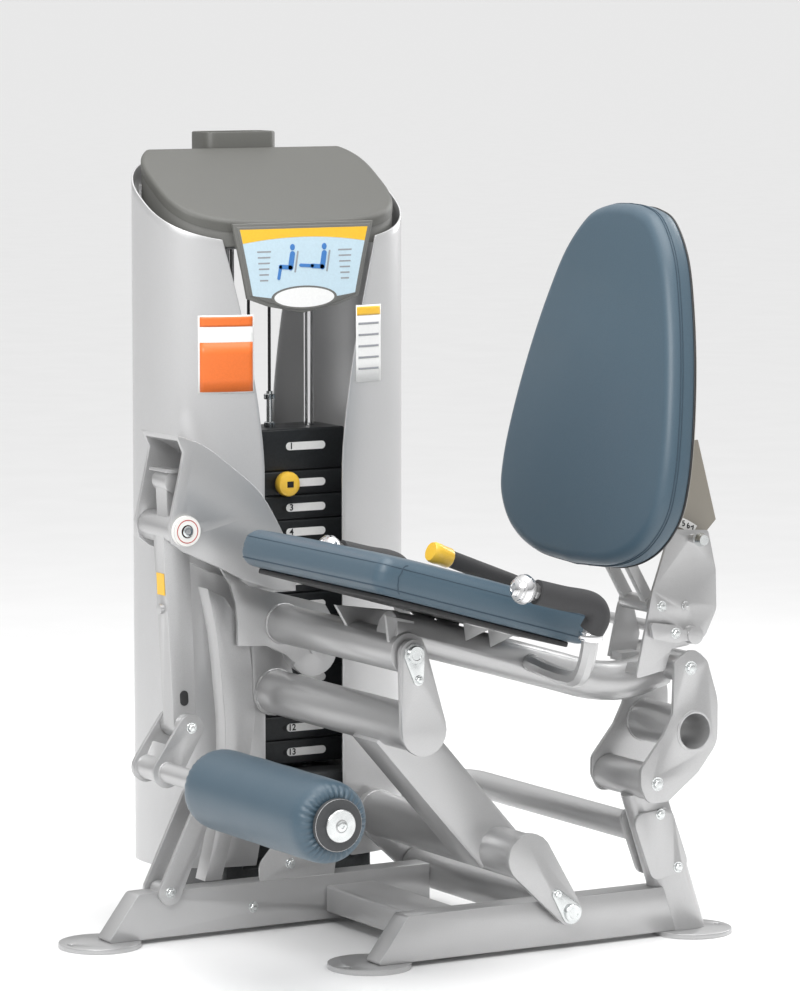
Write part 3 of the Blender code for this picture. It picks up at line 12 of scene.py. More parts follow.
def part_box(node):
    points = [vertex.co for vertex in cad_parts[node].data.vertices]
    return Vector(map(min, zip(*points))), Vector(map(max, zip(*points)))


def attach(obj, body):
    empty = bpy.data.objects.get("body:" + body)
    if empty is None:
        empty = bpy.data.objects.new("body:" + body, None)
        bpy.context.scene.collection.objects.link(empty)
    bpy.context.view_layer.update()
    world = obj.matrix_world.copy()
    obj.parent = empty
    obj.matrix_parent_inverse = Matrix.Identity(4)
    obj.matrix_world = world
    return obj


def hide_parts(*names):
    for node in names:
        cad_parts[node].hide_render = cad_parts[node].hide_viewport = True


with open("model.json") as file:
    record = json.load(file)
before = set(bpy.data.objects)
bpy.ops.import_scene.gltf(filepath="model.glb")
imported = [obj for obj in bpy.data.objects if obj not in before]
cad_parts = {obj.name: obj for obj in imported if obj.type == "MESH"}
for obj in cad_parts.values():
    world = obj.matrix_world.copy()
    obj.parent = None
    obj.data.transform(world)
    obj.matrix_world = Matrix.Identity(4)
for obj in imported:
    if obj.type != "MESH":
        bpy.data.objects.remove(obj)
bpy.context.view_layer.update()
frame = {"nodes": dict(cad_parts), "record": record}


# ---- Steel frame ----
# Welded steel tube and laser-cut plate, powder coated in metallic silver. Every plate edge is eased, so it
# catches a thin line of light. Places are given in side view: X back from the seat, Z up, Y from the seat's middle.
foot_low, foot_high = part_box("foot_near")
MIDDLE = Vector(((foot_low[0] + foot_high[0]) / 2, (foot_low[1] + foot_high[1]) / 2 + 0.004, 0.0))
bodies = frame["record"]["behaviour"]["bodies"]
body_of = {node: body for body, nodes in bodies.items() for node in nodes}
slot_of = {entry["node"]: entry["material_slot"] for entry in frame["record"]["subparts"]}


def at(x, z, y=0.0):
    """A place in the row frame, from its side-view place and its distance from the seat's middle."""
    return MIDDLE + Vector((x, y, z))


def surface(name, colour, rough, metal=0.0, fleck=0.05, fleck_scale=260.0, grain=0.08, grain_scale=900.0,
            cells=False, gloss_drift=0.05, coat=0.0, sheen=0.0):
    """A procedural finish: flecked colour, a gloss that drifts, and a raised grain at its real scale."""
    made = bpy.data.materials.new(name)
    made.use_nodes = True
    nodes, links = made.node_tree.nodes, made.node_tree.links
    shader = nodes["Principled BSDF"]
    shader.inputs["Metallic"].default_value = metal
    shader.inputs["Coat Weight"].default_value = coat
    shader.inputs["Coat Roughness"].default_value = 0.15
    shader.inputs["Sheen Weight"].default_value = sheen
    place = nodes.new("ShaderNodeTexCoord")

    def cloud(scale, detail):
        made_cloud = nodes.new("ShaderNodeTexNoise")
        made_cloud.inputs["Scale"].default_value = scale
        made_cloud.inputs["Detail"].default_value = detail
        links.new(place.outputs["Object"], made_cloud.inputs["Vector"])
        return made_cloud

    tint = nodes.new("ShaderNodeValToRGB")
    for element, spot, share in zip(tint.color_ramp.elements, (0.32, 0.68), (1 - fleck, 1 + fleck)):
        element.position = spot
        element.color = (*[min(1.0, channel * share) for channel in colour], 1.0)
    links.new(cloud(fleck_scale, 3.0).outputs["Fac"], tint.inputs["Fac"])
    links.new(tint.outputs["Color"], shader.inputs["Base Color"])
    drift = nodes.new("ShaderNodeMapRange")
    drift.inputs["To Min"].default_value = max(0.02, rough - gloss_drift)
    drift.inputs["To Max"].default_value = rough + gloss_drift
    links.new(cloud(9.0, 2.0).outputs["Fac"], drift.inputs["Value"])
    links.new(drift.outputs["Result"], shader.inputs["Roughness"])
    raised = nodes.new("ShaderNodeBump")
    raised.inputs["Strength"].default_value = grain
    raised.inputs["Distance"].default_value = 0.0006
    if cells:
        pattern = nodes.new("ShaderNodeTexVoronoi")
        pattern.inputs["Scale"].default_value = grain_scale
        links.new(place.outputs["Object"], pattern.inputs["Vector"])
        links.new(pattern.outputs["Distance"], raised.inputs["Height"])
    else:
        links.new(cloud(grain_scale, 2.0).outputs["Fac"], raised.inputs["Height"])
    links.new(raised.outputs["Normal"], shader.inputs["Normal"])
    return made


def mesh_object(name, mesh, look, crease=32.0):
    """A piece from a mesh: shaded smooth with sharp creases, in one finish."""
    made = bpy.data.objects.new(name, mesh)
    bpy.context.scene.collection.objects.link(made)
    mesh.materials.clear()
    mesh.materials.append(look)
    mesh.shade_smooth()
    mesh.set_sharp_from_angle(angle=radians(crease))
    return made


def settle(made, body, slot, *nodes):
    """Hangs a piece on its body and hides the frame nodes it stands for; slot is not used."""
    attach(made, body)
    if nodes:
        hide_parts(*nodes)
    return made


def baked(made):
    """Applies the piece's modifiers."""
    bpy.context.view_layer.update()
    solid = made.evaluated_get(bpy.context.evaluated_depsgraph_get())
    mesh = bpy.data.meshes.new_from_object(solid)
    made.modifiers.clear()
    made.data = mesh
    return made


def eased(node, look, edge=0.0012, crease=35.0):
    """A frame node's own shape with its sharp edges eased, in a finish."""
    source = frame["nodes"][node]
    shape = bmesh.new()
    shape.from_mesh(source.data)
    bmesh.ops.transform(shape, matrix=source.matrix_world, verts=shape.verts)
    bmesh.ops.remove_doubles(shape, verts=shape.verts, dist=0.00002)
    bmesh.ops.dissolve_limit(shape, angle_limit=radians(1.0), verts=shape.verts, edges=shape.edges)
    mesh = bpy.data.meshes.new(node + "_finished")
    shape.to_mesh(mesh)
    shape.free()
    made = mesh_object(node + "_finished", mesh, look, crease)
    if edge:
        bevel = made.modifiers.new("edges", "BEVEL")
        bevel.width = edge
        bevel.segments = 2
        bevel.angle_limit = radians(crease)
        bevel.use_clamp_overlap = True
        baked(made)
        made.data.shade_smooth()
        made.data.set_sharp_from_angle(angle=radians(crease + 10))
    return settle(made, body_of[node], slot_of[node], node)


SILVER = surface("silver_powder_coat", (0.50, 0.50, 0.502), 0.34, 0.60, fleck=0.05, fleck_scale=900.0, grain=0.10,
                 grain_scale=650.0, coat=0.25)
for node, slot in slot_of.items():
    if slot == "silver_paint":
        eased(node, SILVER)


# ---- Welds ----
# Beads of weld metal round each tube where it meets its plate, painted over with the frame.
def weld(name, body, x, z, y, radius, bead=0.0032):
    """A rippled bead round a tube that runs along Y."""
    shape = bmesh.new()
    turns, sides = 96, 8
    rings = []
    for i in range(turns):
        turn = tau * i / turns
        swell = bead * (1.0 + 0.16 * sin(turn * 30) + 0.10 * noise.noise(Vector((x * 9 + 4 * cos(turn), z * 9 + 4 * sin(turn), y))))
        ring = []
        for j in range(sides):
            lean = tau * j / sides
            reach = radius + swell * cos(lean) * 0.8
            ring.append(shape.verts.new(at(x + reach * cos(turn), z + reach * sin(turn), y + swell * sin(lean))))
        rings.append(ring)
    for i in range(turns):
        for j in range(sides):
            a, b = rings[i], rings[(i + 1) % turns]
            shape.faces.new((a[j], a[(j + 1) % sides], b[(j + 1) % sides], b[j]))
    bmesh.ops.recalc_face_normals(shape, faces=shape.faces)
    mesh = bpy.data.meshes.new(name)
    shape.to_mesh(mesh)
    shape.free()
    return settle(mesh_object(name, mesh, SILVER, 80.0), body, "silver_paint")


weld("swing_lower_near_weld", "swing", 0.310, 0.183, -0.0525, 0.0440)
weld("swing_lower_far_weld", "swing", 0.310, 0.183, 0.4965, 0.0440)
weld("swing_upper_near_weld", "swing", 0.081, 0.441, -0.0525, 0.0430)
weld("swing_upper_far_weld", "swing", 0.081, 0.441, 0.4975, 0.0430)
weld("seat_tube_far_weld", "seat", 0.058, 0.584, 0.4225, 0.0375)
weld("rear_tube_near_weld", "rear_link", 0.659, 0.398, -0.0795, 0.0400, 0.0026)
weld("rear_tube_far_weld", "rear_link", 0.659, 0.398, 0.0795, 0.0400, 0.0026)
weld("roller_tube_weld", "shin_link", -0.223, 0.328, 0.3650, 0.0190, 0.0022)


# ---- Fasteners ----
# Zinc-plated hexagon screws on washers, and the keeper plates that hold the two long axles in the swing frame.
ZINC = surface("zinc_plate", (0.70, 0.72, 0.72), 0.24, 1.0, fleck=0.08, fleck_scale=60.0, grain=0.06, grain_scale=500.0)


def spun(name, profile, base, along, look, sides=48, crease=40.0):
    """A turned piece: (radius, height) pairs spun about a line from base."""
    shape = bmesh.new()
    turn = Vector(along).to_track_quat("Z", "Y").to_matrix()
    rings = []
    for radius, height in profile:
        if radius == 0:
            rings.append([shape.verts.new(base + turn @ Vector((0, 0, height)))])
            continue
        rings.append([shape.verts.new(base + turn @ Vector((radius * cos(tau * i / sides), radius * sin(tau * i / sides),
                                                            height))) for i in range(sides)])
    for low, high in zip(rings, rings[1:]):
        for i in range(sides):
            j = (i + 1) % sides
            corners = [low[i % len(low)], low[j % len(low)], high[j % len(high)], high[i % len(high)]]
            corners = list(dict.fromkeys(corners))
            if len(corners) > 2:
                shape.faces.new(corners)
    for ring in (rings[0], rings[-1]):
        if len(ring) > 1:
            shape.faces.new(ring)
    bmesh.ops.recalc_face_normals(shape, faces=shape.faces)
    mesh = bpy.data.meshes.new(name)
    shape.to_mesh(mesh)
    shape.free()
    return mesh_object(name, mesh, look, crease)


def joined(name, pieces):
    """Several loose pieces as one object, their meshes put together."""
    shape = bmesh.new()
    for piece in pieces:
        shape.from_mesh(piece.data)
    mesh = bpy.data.meshes.new(name)
    shape.to_mesh(mesh)
    shape.free()
    look = pieces[0].data.materials[0]
    for piece in pieces:
        bpy.data.objects.remove(piece, do_unlink=True)
    return mesh_object(name, mesh, look, 30.0)


def screws(name, body, spots):
    """Hexagon screws and washers: (x, z, face, radius, height, facing), facing -1 toward -Y."""
    made = []
    for x, z, face, radius, height, facing in spots:
        along = (0, facing, 0)
        base = at(x, z, face)
        rim = radius * 1.42
        made.append(spun("washer", [(0, -0.001), (rim, -0.001), (rim, 0.0016), (rim - 0.0006, 0.0021), (0, 0.0021)], base, along, ZINC))
        top = height + 0.0006
        made.append(spun("head", [(0, 0.0), (radius * 1.05, 0.0), (radius * 1.05, top - 0.0012), (radius * 0.88, top), (0, top)],
                         base, along, ZINC, 6))
        made.append(spun("dimple", [(radius * 0.60, top - 0.0005), (radius * 0.60, top + 0.0002), (radius * 0.5, top + 0.0004),
                                    (0, top + 0.0004)], base, along, ZINC, 24))
    return settle(joined(name, made), body, "silver_paint")


screws("beam_screws", "base", [(-0.030, 0.049, 0.387, 0.0075, 0.006, -1), (0.054, 0.124, 0.392, 0.0075, 0.006, -1)])
screws("post_screws", "base", [(x, z, face, 0.0075, 0.006, facing) for x, z in ((0.605, 0.239), (0.6455, 0.134))
                               for face, facing in ((-0.0565, -1), (0.0165, 1))])
screws("rear_link_screws", "rear_link", [(x, z, -0.089, 0.0095, 0.007, -1) for x, z in ((0.576, 0.304), (0.650, 0.519))])
screws("shin_pivot_screw", "shin_link", [(-0.172, 0.408, 0.3665, 0.0075, 0.006, -1)])
screws("prop_screw", "rest_prop", [(-0.212, 0.096, 0.3775, 0.0075, 0.006, -1)])
screws("bracket_screws", "seat", [(0.592, 0.638, -0.076, 0.0075, 0.006, -1), (0.646, 0.636, -0.076, 0.0060, 0.005, -1),
                                  (0.612, 0.588, -0.094, 0.0075, 0.006, -1)])


def lobe_outline(discs, sides=40):
    """The outline that wraps round discs in side view, each ((x, z), radius)."""
    points = [Vector((x + radius * cos(tau * i / sides), z + radius * sin(tau * i / sides)))
              for (x, z), radius in discs for i in range(sides)]
    return [points[i] for i in convex_hull_2d(points)]


def slab(name, outline, y_low, y_high, look, edge=0.0008):
    """A flat plate from a side-view outline, from one Y to another, with eased edges."""
    shape = bmesh.new()
    face = shape.faces.new([shape.verts.new(at(x, z, y_low)) for x, z in outline])
    grown = bmesh.ops.extrude_face_region(shape, geom=[face])
    moved = [item for item in grown["geom"] if isinstance(item, bmesh.types.BMVert)]
    bmesh.ops.translate(shape, verts=moved, vec=(0, y_high - y_low, 0))
    bmesh.ops.recalc_face_normals(shape, faces=shape.faces)
    mesh = bpy.data.meshes.new(name)
    shape.to_mesh(mesh)
    shape.free()
    made = mesh_object(name, mesh, look)
    if edge:
        bevel = made.modifiers.new("edges", "BEVEL")
        bevel.width = edge
        bevel.segments = 2
        bevel.angle_limit = radians(40)
        baked(made)
        made.data.shade_smooth()
        made.data.set_sharp_from_angle(angle=radians(45))
    return made


KEEPER_FACE = -0.0704
keepers = []
for axle, screw in (((0.399, 0.073), (0.367, 0.111)), ((0.058, 0.584), (0.066, 0.537))):
    keepers.append(slab("keeper", lobe_outline([(axle, 0.0215), (screw, 0.0105)]), KEEPER_FACE, -0.0655, ZINC))
    keepers.append(spun("axle_end", [(0, 0), (0.0170, 0), (0.0170, 0.0092), (0.0158, 0.0106), (0.0100, 0.0106), (0.0090, 0.0098),
                                     (0, 0.0098)], at(*axle, -0.0665), (0, -1, 0), ZINC))
settle(joined("axle_keepers", keepers), "swing", "silver_paint")
screws("keeper_screws", "swing", [(0.367, 0.111, KEEPER_FACE, 0.0060, 0.0055, -1), (0.066, 0.537, KEEPER_FACE, 0.0060, 0.0055, -1)])


# ---- Knee pivot cap ----
# A white plastic disc with a printed ring and a recessed screw, over the end of the leg arm's axle.
WHITE_PLASTIC = surface("white_plastic", (0.80, 0.79, 0.76), 0.35, fleck=0.02, grain=0.03)
RED_PRINT = surface("red_print", (0.45, 0.05, 0.04), 0.40, fleck=0.05, grain=0.03)
CAP_FACE = 0.3535
cap_along = (0, -1, 0)
cap_base = at(-0.190, 0.783, CAP_FACE)
cap_disc = spun("knee_cap", [(0, -0.001), (0.0290, -0.001), (0.0290, 0.0075), (0.0275, 0.0094), (0.0130, 0.0098), (0.0120, 0.0090),
                             (0, 0.0090)], cap_base, cap_along, WHITE_PLASTIC)
settle(cap_disc, "leg_arm", "silver_paint")
cap_ring = spun("knee_cap_ring", [(0.0222, 0.0092), (0.0222, 0.0099), (0.0206, 0.0099), (0.0206, 0.0092)], cap_base, cap_along, RED_PRINT)
settle(cap_ring, "leg_arm", "silver_paint")
cap_screw = spun("knee_cap_screw", [(0, 0.0085), (0.0104, 0.0085), (0.0104, 0.0120), (0.0090, 0.0128), (0.0050, 0.0128), (0.0045, 0.0110),
                                    (0, 0.0110)], cap_base, cap_along, ZINC)
settle(cap_screw, "leg_arm", "silver_paint")


# ---- Weight tower shrouds ----
# Two bent steel sheets with a sloping top edge, powder coated like the frame. Their front edges bow apart
# toward the cap, so that the stack shows between them.
TOWER_X, TOWER_Y = 0.156, 0.660
HALF_WIDTH, HALF_DEPTH, SHEET, ROUNDNESS = 0.2778, 0.1448, 0.0036, 2.6
TOP_MIDDLE, TOP_SLOPE, SHROUD_FOOT = 1.3908, 0.60, 0.1002
PANEL = surface("silver_panel_coat", (0.56, 0.56, 0.563), 0.33, 0.50, fleck=0.04, fleck_scale=900.0, grain=0.08, grain_scale=600.0,
                coat=0.3)


def gap_half(z):
    """Half of the gap between the shrouds at a height."""
    if z > 0.90:
        return 0.086 + 0.063 * ((z - 0.90) / 0.41) ** 1.5
    if z < 0.30:
        return 0.086 + 0.020 * ((0.30 - z) / 0.20) ** 2
    return 0.086


def plan(turn, grow=0.0):
    """A point of the tower's rounded plan, from its middle; turn 0 is the front's middle."""
    power = 2 / ROUNDNESS
    out_x = (HALF_WIDTH + grow) * abs(sin(turn)) ** power * (1 if sin(turn) >= 0 else -1)
    out_y = -(HALF_DEPTH + grow) * abs(cos(turn)) ** power * (1 if cos(turn) > 0 else -1)
    return out_x, out_y


def plan_turn(gap):
    share = (gap / HALF_WIDTH) ** (ROUNDNESS / 2)
    return Vector((1.0, 0.0)).angle(Vector(((1 - share**2) ** 0.5, share)))


def grid_mesh(name, rows, columns, spot):
    """A mesh from a grid of points, spot(row share, column share)."""
    points = [spot(i / rows, j / columns) for i in range(rows + 1) for j in range(columns + 1)]
    faces = [(i * (columns + 1) + j, i * (columns + 1) + j + 1, (i + 1) * (columns + 1) + j + 1, (i + 1) * (columns + 1) + j)
             for i in range(rows) for j in range(columns)]
    mesh = bpy.data.meshes.new(name)
    mesh.from_pydata(points, [], faces)
    return mesh


def shroud_spot(side, up, across, grow=0.0):
    z = SHROUD_FOOT + up * (TOP_MIDDLE - SHROUD_FOOT)
    first = plan_turn(gap_half(z))
    turn = first + across * (pi - 2 * first)
    out_x, out_y = plan(turn, grow)
    z += up**2 * TOP_SLOPE * out_y
    return at(TOWER_X + side * out_x, z, TOWER_Y + out_y)


for shroud, side in (("shroud_front_side", -1), ("shroud_rear_side", 1)):
    mesh = grid_mesh(shroud + "_sheet", 72, 96, lambda up, across: shroud_spot(side, up, across))
    if side < 0:
        mesh.flip_normals()
    sheet = mesh_object(shroud + "_sheet", mesh, PANEL)
    wall = sheet.modifiers.new("wall", "SOLIDIFY")
    wall.thickness = SHEET
    wall.offset = -1.0
    wall.use_even_offset = True
    lip = sheet.modifiers.new("lip", "BEVEL")
    lip.width = 0.0009
    lip.segments = 2
    lip.angle_limit = radians(60)
    baked(sheet)
    sheet.data.shade_smooth()
    sheet.data.set_sharp_from_angle(angle=radians(50))
    settle(sheet, "base", "silver_panel", shroud)


# ---- Tower labels ----
# Printed vinyl stickers on the shrouds. Their fields are plain: no lettering.
ORANGE_PRINT = surface("orange_print", (0.78, 0.17, 0.03), 0.38, fleck=0.03, grain=0.02)
WHITE_PRINT = surface("white_print", (0.82, 0.82, 0.81), 0.35, fleck=0.02, grain=0.02)
YELLOW_PRINT = surface("yellow_print", (0.85, 0.50, 0.04), 0.36, fleck=0.03, grain=0.02)
GREY_PRINT = surface("grey_print", (0.30, 0.31, 0.33), 0.40, fleck=0.03, grain=0.02)
SKY_PRINT = surface("sky_print", (0.52, 0.66, 0.74), 0.36, fleck=0.03, grain=0.02)
BLUE_PRINT = surface("blue_print", (0.06, 0.20, 0.50), 0.36, fleck=0.03, grain=0.02)


def sticker(name, side, near, far, low, high, lift, look):
    """A thin patch that follows a shroud's curve, between two distances from the tower's middle."""
    def spot(up, across):
        out = near + (far - near) * across
        out_x, out_y = plan(plan_turn(out), lift)
        return at(TOWER_X + side * out, low + (high - low) * up, TOWER_Y + out_y)

    mesh = grid_mesh(name, 4, 12, spot)
    if side > 0:
        mesh.flip_normals()
    mesh.flip_normals()
    patch = mesh_object(name, mesh, look)
    skin = patch.modifiers.new("skin", "SOLIDIFY")
    skin.thickness = 0.0004
    skin.offset = 0.0
    baked(patch)
    return settle(patch, "base", "silver_panel")


sticker("front_sticker_border", -1, 0.108, 0.214, 1.020, 1.170, 0.0010, WHITE_PRINT)
sticker("front_sticker_head", -1, 0.111, 0.211, 1.148, 1.167, 0.0016, ORANGE_PRINT)
sticker("front_sticker_field", -1, 0.111, 0.211, 1.023, 1.118, 0.0016, ORANGE_PRINT)
sticker("rear_sticker_border", 1, 0.118, 0.182, 1.030, 1.180, 0.0010, WHITE_PRINT)
sticker("rear_sticker_head", 1, 0.120, 0.180, 1.160, 1.177, 0.0016, YELLOW_PRINT)
for line in range(5):
    top = 1.146 - 0.022 * line
    sticker(f"rear_sticker_line_{line + 1}", 1, 0.124, 0.176, top - 0.004, top, 0.0016, GREY_PRINT)


# ---- Tower cap ----
# One dark moulding: a sloping lid with a soft edge, a skirt that drops inside the shrouds, and a tray behind.
CAP_TOP = surface("cap_plastic", (0.092, 0.092, 0.084), 0.42, fleck=0.05, fleck_scale=500.0, grain=0.35, grain_scale=1100.0)
SKIRT = surface("cap_skirt", (0.150, 0.150, 0.141), 0.42, fleck=0.05, fleck_scale=500.0, grain=0.30, grain_scale=1100.0)
CAP_HALF_WIDTH, CAP_HALF_DEPTH, CAP_MIDDLE, CAP_FOOT = 0.2518, 0.1318, 1.4238, 1.3002
CAP_ROUNDNESS, CAP_REAR = 3.2, 0.0998
LID_EDGE = 0.008


def cap_spot(turn, inset, z_drop):
    power = 2 / CAP_ROUNDNESS
    out_x = (CAP_HALF_WIDTH - inset) * abs(sin(turn)) ** power * (1 if sin(turn) >= 0 else -1)
    out_y = -(CAP_HALF_DEPTH - inset) * abs(cos(turn)) ** power * (1 if cos(turn) > 0 else -1)
    out_y = min(CAP_REAR - inset, out_y)
    return at(TOWER_X + out_x, CAP_MIDDLE + TOP_SLOPE * out_y - z_drop, TOWER_Y + out_y)


def ringed(name, rings, look, crease=40.0, closed=True):
    """A mesh from rings of points, each joined to the next, with both ends filled."""
    shape = bmesh.new()
    made = [[shape.verts.new(point) for point in ring] for ring in rings]
    count = len(made[0])
    for low, high in zip(made, made[1:]):
        for i in range(count):
            j = (i + 1) % count
            shape.faces.new((low[i], low[j], high[j], high[i]))
    if closed:
        shape.faces.new(made[0])
        shape.faces.new(made[-1])
    bmesh.ops.recalc_face_normals(shape, faces=shape.faces)
    mesh = bpy.data.meshes.new(name)
    shape.to_mesh(mesh)
    shape.free()
    return mesh_object(name, mesh, look, crease)


CAP_TURNS = [tau * (i + 0.5) / 128 for i in range(128)]
lid_rings = [[cap_spot(turn, 0.0002, 0.022) for turn in CAP_TURNS]]
for step in range(7):
    lean = step / 6 * pi / 2
    inset = LID_EDGE * (1 - cos(lean))
    lid_rings.append([cap_spot(turn, inset, LID_EDGE * (1 - sin(lean))) for turn in CAP_TURNS])
lid = ringed("cap_lid", [[cap_spot(turn, 0.006, 0.022) for turn in CAP_TURNS]] + lid_rings, CAP_TOP)
settle(lid, "base", "cap_plastic", "tower_cap")
skirt_rings = [[cap_spot(turn, 0.0012, 0.021) for turn in CAP_TURNS]]
skirt_rings.append([Vector((point.x, point.y, CAP_FOOT)) for point in skirt_rings[0]])
skirt_rings.append([Vector((point.x, point.y, CAP_FOOT)) for point in (cap_spot(turn, 0.0042, 0) for turn in CAP_TURNS)])
skirt_rings.append([cap_spot(turn, 0.0042, 0.0215) for turn in CAP_TURNS])
skirt = ringed("cap_skirt", skirt_rings, SKIRT, closed=False)
settle(skirt, "base", "cap_plastic")
tray_low = at(TOWER_X - 0.0798, 1.4122, TOWER_Y + 0.0992)
tray_high = at(TOWER_X + 0.0798, 1.5118, TOWER_Y + 0.1798)


def rounded_rect(low, high, z, inset, corner, steps=6):
    """A ring of points round a level rectangle with rounded corners."""
    corner = max(0.001, corner - inset)
    points = []
    for cx, cy, start in ((high.x, high.y, 0), (low.x, high.y, 90), (low.x, low.y, 180), (high.x, low.y, 270)):
        middle_x = cx + (-(inset + corner) if cx == high.x else inset + corner)
        middle_y = cy + (-(inset + corner) if cy == high.y else inset + corner)
        for step in range(steps + 1):
            turn = radians(start + 90 * step / steps)
            points.append(Vector((middle_x + corner * cos(turn), middle_y + corner * sin(turn), z)))
    return points


tray_rings = [rounded_rect(tray_low, tray_high, z, inset, 0.022) for z, inset in (
    (tray_low.z, 0.006), (tray_low.z + 0.002, 0.002), (tray_low.z + 0.006, 0.0), (tray_high.z - 0.003, 0.0),
    (tray_high.z - 0.0008, 0.001), (tray_high.z, 0.003), (tray_high.z - 0.0008, 0.0052), (tray_high.z - 0.004, 0.006),
    (tray_low.z + 0.026, 0.006), (tray_low.z + 0.021, 0.009), (tray_low.z + 0.020, 0.014))]
tray = ringed("cap_tray", tray_rings, CAP_TOP)
settle(tray, "base", "cap_plastic")


# ---- Placard ----
# The grey shield between the shrouds, with a printed placard: an orange band, a pale field with two plain seated
# figures, and a white lens below.
eased("fascia", SKIRT, 0.0020)
PLACARD_FACE = 0.5149


def shield_outline(clear, top, bottom, tip):
    side = [(gap_half(z) - clear, z) for z in (top - (top - bottom) * step / 5 for step in range(6))]
    bow = [(x, bottom - (bottom - tip) * (1 - (x / side[-1][0]) ** 2)) for x in (0.10, 0.075, 0.05, 0.025, 0.0)]
    half = side + [spot for spot in bow if spot[0] < side[-1][0]]
    return [(TOWER_X + x, z) for x, z in half] + [(TOWER_X - x, z) for x, z in reversed(half[:-1])]


def printed(name, outline, layer, look):
    """A print layer on the placard's face; higher layers lie over lower ones."""
    front = PLACARD_FACE - 0.0003 - 0.0003 * layer
    return settle(slab(name, outline, front, PLACARD_FACE + 0.0005, look, 0.0), "base", "cap_plastic")


def oval(x, z, half_x, half_z, sides=40):
    return [(x + half_x * cos(tau * i / sides), z + half_z * sin(tau * i / sides)) for i in range(sides)]


def limb(start, end, thick):
    return lobe_outline([(start, thick), (end, thick)], 14)


printed("placard_field", shield_outline(0.014, 1.333, 1.206, 1.196), 0, SKY_PRINT)
band = shield_outline(0.014, 1.333, 1.306, 1.3165)
printed("placard_band", band, 1, YELLOW_PRINT)
printed("placard_lens_rim", oval(TOWER_X, 1.2000, 0.0720, 0.0225), 2, SKIRT)
printed("placard_lens", oval(TOWER_X, 1.2000, 0.0660, 0.0190), 3, WHITE_PRINT)
for figure, (left, shin_reach, shin_drop) in enumerate(((-0.030, 0.004, 0.022), (0.040, 0.026, -0.002))):
    hip = (TOWER_X + left, 1.258)
    knee = (hip[0] - 0.022, hip[1] + 0.002)
    ankle = (knee[0] - shin_reach, knee[1] - shin_drop)
    shoulder = (hip[0] + 0.004, hip[1] + 0.026)
    printed(f"placard_seat_{figure + 1}", limb((hip[0] + 0.010, hip[1] - 0.008), (hip[0] + 0.016, hip[1] + 0.030), 0.0018), 2, GREY_PRINT)
    for part, outline in (("thigh", limb(hip, knee, 0.0042)), ("shin", limb(knee, ankle, 0.0032)),
                          ("trunk", limb(hip, shoulder, 0.0055)), ("head", oval(shoulder[0], shoulder[1] + 0.013, 0.0052, 0.0062, 20))):
        printed(f"placard_{part}_{figure + 1}", outline, 3, BLUE_PRINT)
for column, x in enumerate((-0.088, 0.090)):
    for row in range(6):
        z = 1.288 - 0.011 * row
        half = 0.015 - 0.0012 * row
        printed(f"placard_note_{column + 1}_{row + 1}", [(TOWER_X + x - half, z), (TOWER_X + x + half, z), (TOWER_X + x + half, z + 0.003),
                                                         (TOWER_X + x - half, z + 0.003)], 1, GREY_PRINT)


# ---- Weight stack ----
# Thirteen black-painted steel plates on two chromed rods. Each has a white label slot with its number, and the
# selector pin's hole in its front edge, drawn as a flat near-black disc of painted shade for the hole's depth.
STACK_LOOK = surface("stack_paint", (0.020, 0.022, 0.024), 0.38, 0.2, fleck=0.15, grain=0.25, grain_scale=500.0)
CHROME = surface("chrome_plate", (0.78, 0.78, 0.79), 0.10, 1.0, fleck=0.02, fleck_scale=40.0, grain=0.02, gloss_drift=0.03)
# Near-black: the ink of the printed numerals and the knob's inlay, and painted shade where it stands for the selector
# holes.
INK_AND_HOLE_SHADE = surface("black_ink_and_hole_shade", (0.006, 0.006, 0.007), 0.60, fleck=0.1, grain=0.1)
STACK_FRONT, STACK_FOOT, PITCH = 0.5950, 0.278, 0.0482
for node, slot in slot_of.items():
    if slot == "stack_paint":
        eased(node, STACK_LOOK, 0.0022)
    elif node.startswith("guide_rod"):
        eased(node, CHROME, 0.0)


def numeral(name, text, height, place, look, facing=(pi / 2, 0, 0)):
    """A thin raised numeral."""
    curve = bpy.data.curves.new(name, "FONT")
    curve.body = text
    curve.size = height * 1.4
    curve.extrude = 0.00015
    curve.offset = 0.0004
    curve.align_x = "CENTER"
    curve.align_y = "CENTER"
    holder = bpy.data.objects.new(name, curve)
    bpy.context.scene.collection.objects.link(holder)
    holder.rotation_euler = facing
    holder.location = place
    bpy.context.view_layer.update()
    mesh = bpy.data.meshes.new_from_object(holder.evaluated_get(bpy.context.evaluated_depsgraph_get()))
    mesh.transform(holder.matrix_world)
    bpy.data.objects.remove(holder, do_unlink=True)
    return mesh_object(name, mesh, look)


LABEL_X, LABEL_HALF, LABEL_RADIUS = 0.203, 0.036, 0.0078
for body, numbers in (("lifted_weights", (1, 2)), ("base", range(3, 14))):
    labels, digits, holes = [], [], []
    for number in numbers:
        z = STACK_FOOT + (13 - number) * PITCH + (0.048 if number == 1 else PITCH / 2)
        ends = [((LABEL_X - LABEL_HALF, z), LABEL_RADIUS), ((LABEL_X + LABEL_HALF, z), LABEL_RADIUS)]
        labels.append(slab("plate_label", lobe_outline(ends, 28), STACK_FRONT - 0.0008, STACK_FRONT + 0.0005, WHITE_PRINT, 0.0))
        spot = at(LABEL_X - LABEL_HALF + 0.004, z, STACK_FRONT - 0.0010)
        digits.append(numeral("plate_number", str(number), 0.0125, spot, INK_AND_HOLE_SHADE))
        if number > 2:
            # Each selector hole is a flat near-black disc on the plate's face: painted shade in place of the hole's
            # depth.
            holes.append(spun("selector_hole_shade", [(0, 0), (0.0058, 0), (0.0058, 0.0004), (0, 0.0004)],
                              at(TOWER_X, z, STACK_FRONT), (0, -1, 0), INK_AND_HOLE_SHADE, 24))
    settle(joined("plate_labels_" + body, labels), body, "stack_paint")
    settle(joined("plate_numbers_" + body, digits), body, "stack_paint")
    if holes:
        settle(joined("selector_holes", holes), body, "stack_paint")


